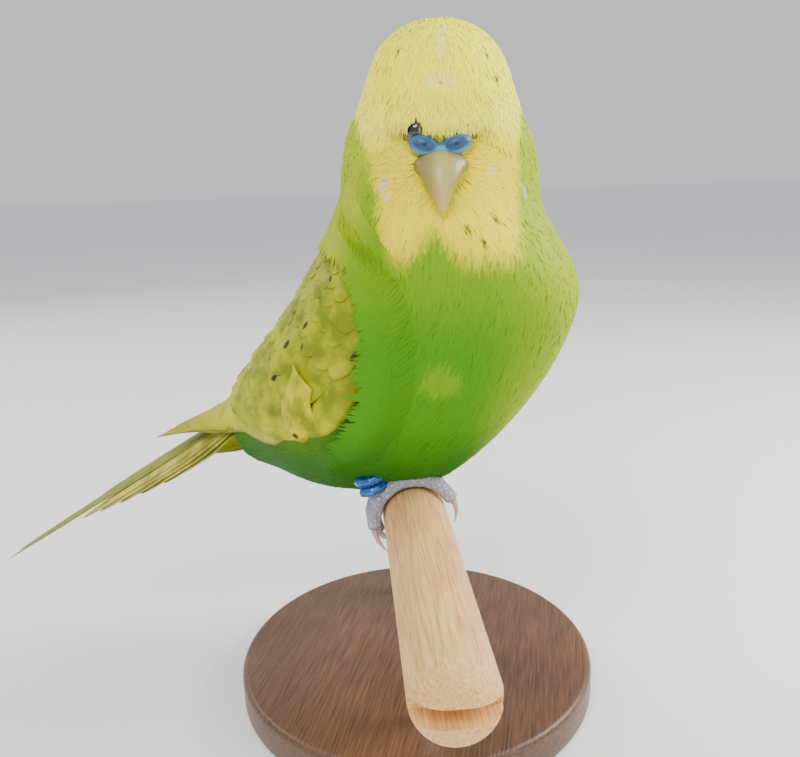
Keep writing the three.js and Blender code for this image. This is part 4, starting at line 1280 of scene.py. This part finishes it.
def bill_half(name, rows, ridge):
    """A horn of oval sections along the rows: ahead, up, half width and half thickness."""
    bpy.ops.mesh.primitive_uv_sphere_add(segments=64, ring_count=60, radius=0.01)
    horn = bpy.context.object
    horn.name = name
    ball = np.array([v.co for v in horn.data.vertices]) / 0.01
    share = np.arccos(np.clip(ball[:, 2], -1, 1)) / math.pi
    turn = np.arctan2(ball[:, 1], ball[:, 0])
    last = len(rows) - 1
    centre = np.column_stack([rows[:, :2], 0 * rows[:, 0]])
    line = smooth_through(centre, share * last)
    girth = smooth_through(np.column_stack([rows[:, 2:], 0 * rows[:, 0]]), share * last)
    ahead_of = smooth_through(centre, np.clip(share + 0.01, 0, 1) * last)
    behind = smooth_through(centre, np.clip(share - 0.01, 0, 1) * last)
    along = unit(ahead_of - behind)
    close = np.sqrt(np.clip(1 - (1 - np.minimum(share / 0.06, 1)) ** 2, 0, 1))
    close *= np.sqrt(np.clip(1 - (1 - np.minimum((1 - share) / 0.04, 1)) ** 2, 0, 1))
    rise = girth[:, 1] * np.cos(turn) * close * (1 + ridge * np.maximum(np.cos(turn), 0) ** 6)
    aside = girth[:, 0] * np.sin(turn) * close
    places = np.array([
        on_head(line[i, 0] - along[i, 1] * rise[i], aside[i], line[i, 1] + along[i, 0] * rise[i])
        for i in range(len(ball))
    ])
    horn.data.vertices.foreach_set("co", (places * 0.001).ravel())
    horn.data.update()
    bpy.ops.object.select_all(action="DESELECT")
    horn.select_set(True)
    bpy.ops.object.mode_set(mode="EDIT")
    bpy.ops.mesh.select_all(action="SELECT")
    bpy.ops.mesh.normals_make_consistent(inside=False)
    bpy.ops.object.mode_set(mode="OBJECT")
    bpy.ops.object.shade_smooth()
    give_attribute(horn, "Along", share)
    give_attribute(horn, "Ridge", np.maximum(np.cos(turn), 0) ** 5)
    return horn


horn_finish, nodes, shader = finish("bill_horn", 0.42)
shader.inputs["Coat Weight"].default_value = 0.15
shader.inputs["Subsurface Weight"].default_value = 0.08
shader.inputs["Subsurface Scale"].default_value = 0.001
tones = put(nodes, "ValToRGB", Fac=carried(nodes, "Along"))
tones.color_ramp.elements[0].position = 0.15
tones.color_ramp.elements[0].color = paint(104, 94, 48)
tones.color_ramp.elements[1].position = 1.0
tones.color_ramp.elements[1].color = paint(204, 172, 66)
tones.color_ramp.elements.new(0.55).color = paint(146, 130, 56)
keel = sums(nodes, "MULTIPLY", carried(nodes, "Ridge"), 0.7)
feed(shader.inputs["Base Color"], mix(nodes, keel, tones.outputs["Color"], paint(186, 172, 100)))
add_bump(nodes, shader, noise(nodes, 900, 4), 0.18, 0.0002)
for name, rows, ridge_rise in (("bill_upper", UPPER_BILL, 0.12), ("bill_lower", LOWER_BILL, 0)):
    horn = bill_half(name.replace("bill_", "horn_"), rows, ridge_rise)
    horn.data.materials.append(horn_finish)
    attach(horn, "root")
    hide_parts(name)

CERE_HEIGHT = 70.7
head_axes = Matrix([list(face_ahead), list(face_right), [0, 0, 1]]).transposed().to_4x4()


def head_ball(ahead, right, up, radii, segments=48, roll=0):
    """A ball in the head's own directions, with a radius ahead, across and up, in millimetres."""
    bpy.ops.mesh.primitive_uv_sphere_add(segments=segments, ring_count=segments // 2, radius=0.001)
    ball = bpy.context.object
    ball.matrix_world = (
        Matrix.Translation(Vector(on_head(ahead, right, up)) * 0.001)
        @ head_axes
        @ Matrix.Rotation(math.radians(-roll), 4, "X")
        @ Matrix.Diagonal((*radii, 1))
    )
    shape_done(ball)
    return ball


lobes = [
    head_ball(15.5, 2.9, CERE_HEIGHT + 0.2, (2.3, 3.1, 1.85), roll=-15),
    head_ball(15.5, -2.9, CERE_HEIGHT + 0.2, (2.3, 3.1, 1.85), roll=15),
    head_ball(15.3, 0, CERE_HEIGHT - 0.55, (2.1, 3.2, 1.15)),
]
cere = lobes[0]
cere.name = "cere_skin"
bpy.ops.object.select_all(action="DESELECT")
for lobe in lobes:
    lobe.select_set(True)
bpy.context.view_layer.objects.active = cere
bpy.ops.object.join()
apply_modifier(cere, "REMESH", mode="VOXEL", voxel_size=0.00016)
apply_modifier(cere, "SMOOTH", factor=0.5, iterations=16)
for side in (1, -1):
    pit = head_ball(17.8, side * 2.9, CERE_HEIGHT + 0.4, (0.7, 0.5, 0.4), 24)
    apply_modifier(cere, "BOOLEAN", operation="DIFFERENCE", solver="EXACT", object=pit)
    bpy.data.objects.remove(pit)
shade_smooth(cere, 50)
points = mesh_points(cere) - np.array([-1, -10, PERCH_TOP])
across = points @ face_right
up = points[:, 2] - CERE_HEIGHT
forward = points @ face_ahead
from_lobe = np.hypot((np.abs(across) - 2.9) / 2.7, (up - 0.3 - 0.15 * (np.abs(across) - 2.9)) / 1.45)
lower_side = 0.3 + 0.7 * soft_step(-up, -0.6, 1.0)
give_attribute(cere, "Rim", soft_step(from_lobe, 0.6, 1.0) * lower_side)
# Painted shade: the nostril pits are painted dark blue.
from_pit = np.hypot((np.abs(across) - 2.9) / 0.8, (up - 0.4) / 0.65)
give_attribute(cere, "PitShade", soft_step(0.8 - from_pit, 0, 0.35))
cere_finish, nodes, shader = finish("cere_blue", 0.42)
shader.inputs["Subsurface Weight"].default_value = 0.12
shader.inputs["Subsurface Scale"].default_value = 0.0008
blue = mix(nodes, carried(nodes, "Rim"), paint(22, 70, 108), paint(86, 156, 186))
feed(shader.inputs["Base Color"], mix(nodes, carried(nodes, "PitShade"), blue, paint(16, 40, 66)))
add_bump(nodes, shader, noise(nodes, 1800), 0.25, 0.0002)
cere.data.materials.append(cere_finish)
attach(cere, "root")
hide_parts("cere")


# Eyes
# Dark glassy eyes with a narrow pale iris, each in a soft ring of bare grey lid, set under the brow.
EYE_RADIUS = 2.4
EYE_HEIGHT = 73.7
EYE_AHEAD = 13.6
eye_finish, nodes, shader = finish("eye_dark", 0.04)
shader.inputs["Coat Weight"].default_value = 1
shader.inputs["Coat Roughness"].default_value = 0.02
eye_tones = mix(nodes, carried(nodes, "Iris"), paint(14, 11, 10), paint(118, 96, 70))
feed(shader.inputs["Base Color"], eye_tones)
lid_finish, nodes, shader = finish("lid_skin", 0.6)
folds = noise(nodes, 1500, 3)
feed(shader.inputs["Base Color"], mix(nodes, folds, paint(96, 88, 60), paint(142, 132, 84)))
add_bump(nodes, shader, folds, 0.4, 0.0002)
for word, side in (("right", 1), ("left", -1)):
    eye = head_ball(EYE_AHEAD, side * 4.3, EYE_HEIGHT, (EYE_RADIUS, EYE_RADIUS, EYE_RADIUS * 0.9))
    eye.name = f"eyeball_{word}"
    look = unit(face_ahead * 0.93 + face_right * side * 0.3 + np.array([0, 0, 0.06]))
    arm = unit(mesh_points(eye) - on_head(EYE_AHEAD, side * 4.3, EYE_HEIGHT))
    off_look = np.degrees(np.arccos(np.clip(arm @ look, -1, 1)))
    give_attribute(eye, "Iris", soft_step(off_look, 30, 33) * (1 - soft_step(off_look, 40, 44)))
    shade_smooth(eye)
    eye.data.materials.append(eye_finish)
    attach(eye, "root")
    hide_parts(f"eye_{word}")
    bpy.ops.mesh.primitive_torus_add(
        major_segments=56, minor_segments=20, major_radius=0.0019, minor_radius=0.00042
    )
    lid = bpy.context.object
    lid.name = f"lid_{word}"
    facing = Vector(look).to_track_quat("Z", "Y").to_matrix().to_4x4()
    middle = Vector(on_head(EYE_AHEAD, side * 4.3, EYE_HEIGHT)) + Vector(look) * 1.42
    lid.matrix_world = Matrix.Translation(middle * 0.001) @ facing @ Matrix.Diagonal((1.08, 0.88, 1, 1))
    shape_done(lid)
    shade_smooth(lid)
    lid.data.materials.append(lid_finish)
    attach(lid, "root")
    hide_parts(f"eyelid_{word}")


# Brow feathers
# Longer pale feathers hang from the forehead over the eyes and the top of the cere, like a fringe.
brow_count = 2600
brow_up = rng.uniform(75.4, 84, brow_count)
brow_side = rng.uniform(-9.5, 9.5, brow_count)
brow_roots = np.array([on_head(15.5, side, up) for side, up in zip(brow_side, brow_up)])
brow_end = 73.4 - 1.0 * np.exp(-((brow_side + 0.4) / 2.4) ** 2) + rng.normal(0, 0.6, brow_count)
brow_end += 0.9 * np.exp(-((brow_side - 4.6) / 1.4) ** 2)
brow_end -= 1.4 * np.exp(-((brow_side + 5.0) / 1.8) ** 2)
brow_length = np.clip(brow_up - brow_end, 1.4, 5.6)
brow_lift = np.interp(brow_up, (76, 84), (1.7, 0.95)) * rng.uniform(0.75, 1.1, brow_count)
brow_line, brow_ups = comb(brow_roots, brow_length, rng.normal(0, 0.2, brow_count), brow_lift)
for ring, push in ((2, 0.25), (3, 0.55)):
    brow_line[:, ring] += brow_ups[:, ring] * push
clear = np.linalg.norm(brow_line - open_eye, axis=2).min(axis=1) > 1.5
brow_line, brow_ups = brow_line[clear], brow_ups[clear]
brow_count = len(brow_line)
brow_width = rng.uniform(0.15, 0.25, brow_count)
brow, corner_points, every = blade_mesh("coat_brow", brow_line, brow_ups, brow_width, brow_width * 0.5)
brow_shade = np.repeat(np.clip(rng.normal(0.66, 0.15, brow_count), 0, 1), 10)
brow_stations, brow_angles = place_on_body(brow_line[:, 0])
finish_blades(
    brow, corner_points, every, brow_line, brow_shade, brow_stations, brow_angles
)
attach(brow, "root")


# Feet, claws and leg ring
# Two toes point ahead and two back round the perch, under small plates of grey skin, with curved
# horn claws. The right leg wears a ring of two coils of bright blue wire.
def smooth_copy(node, name, voxel, rounds, swell=0):
    """A finer, rounder copy of a CAD node's surface, in millimetres of voxel."""
    source = frame["nodes"][node]
    piece = source.copy()
    piece.data = source.data.copy()
    piece.name = name
    piece.parent = None
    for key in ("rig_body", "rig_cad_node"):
        if key in piece:
            del piece[key]
    bpy.context.scene.collection.objects.link(piece)
    weld = bmesh.new()
    weld.from_mesh(piece.data)
    bmesh.ops.remove_doubles(weld, verts=weld.verts, dist=1e-6)
    weld.to_mesh(piece.data)
    weld.free()
    apply_modifier(piece, "REMESH", mode="VOXEL", voxel_size=voxel * 0.001)
    apply_modifier(piece, "SMOOTH", factor=0.5, iterations=rounds)
    if swell:
        apply_modifier(piece, "DISPLACE", mid_level=0, strength=swell * 0.001)
    piece.data.materials.clear()
    shade_smooth(piece)
    return piece


foot_finish, nodes, shader = finish("foot_skin", 0.55)
plates = put(nodes, "TexVoronoi", Scale=950)
plates.feature = "DISTANCE_TO_EDGE"
feed(plates.inputs["Vector"], nodes.new("ShaderNodeTexCoord").outputs["Object"])
edges = put(nodes, "MapRange", Value=plates.outputs["Distance"], From_Max=0.3).outputs["Result"]
skin_tones = mix(nodes, noise(nodes, 260, 3), paint(146, 158, 176), paint(196, 182, 184))
feed(shader.inputs["Base Color"], mix(nodes, edges, paint(128, 136, 148), skin_tones))
add_bump(nodes, shader, edges, 0.5, 0.0003)

claw_finish, nodes, shader = finish("claw_horn", 0.3)
claw_tones = mix(nodes, noise(nodes, 500), paint(150, 122, 116), paint(206, 178, 168))
feed(shader.inputs["Base Color"], claw_tones)

for word in ("right", "left"):
    foot = smooth_copy(f"foot_{word}", f"scaly_foot_{word}", 0.2, 6, 0.3)
    foot.data.materials.append(foot_finish)
    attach(foot, "root")
    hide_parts(f"foot_{word}")
    for number in (1, 2, 3, 4):
        claw = smooth_copy(f"claw_{word}_{number}", f"horn_claw_{word}_{number}", 0.1, 4)
        claw.data.materials.append(claw_finish)
        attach(claw, "root")
        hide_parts(f"claw_{word}_{number}")

ring_finish, nodes, shader = finish("ring_blue", 0.22)
shader.inputs["Metallic"].default_value = 0.35
shader.inputs["Coat Weight"].default_value = 0.6
ring_tones = mix(nodes, noise(nodes, 700), paint(16, 60, 150), paint(30, 118, 196))
feed(shader.inputs["Base Color"], ring_tones)
coil = smooth_copy("leg_ring", "leg_ring_coil", 0.12, 16)
coil.data.materials.append(ring_finish)
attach(coil, "root")
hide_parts("leg_ring")
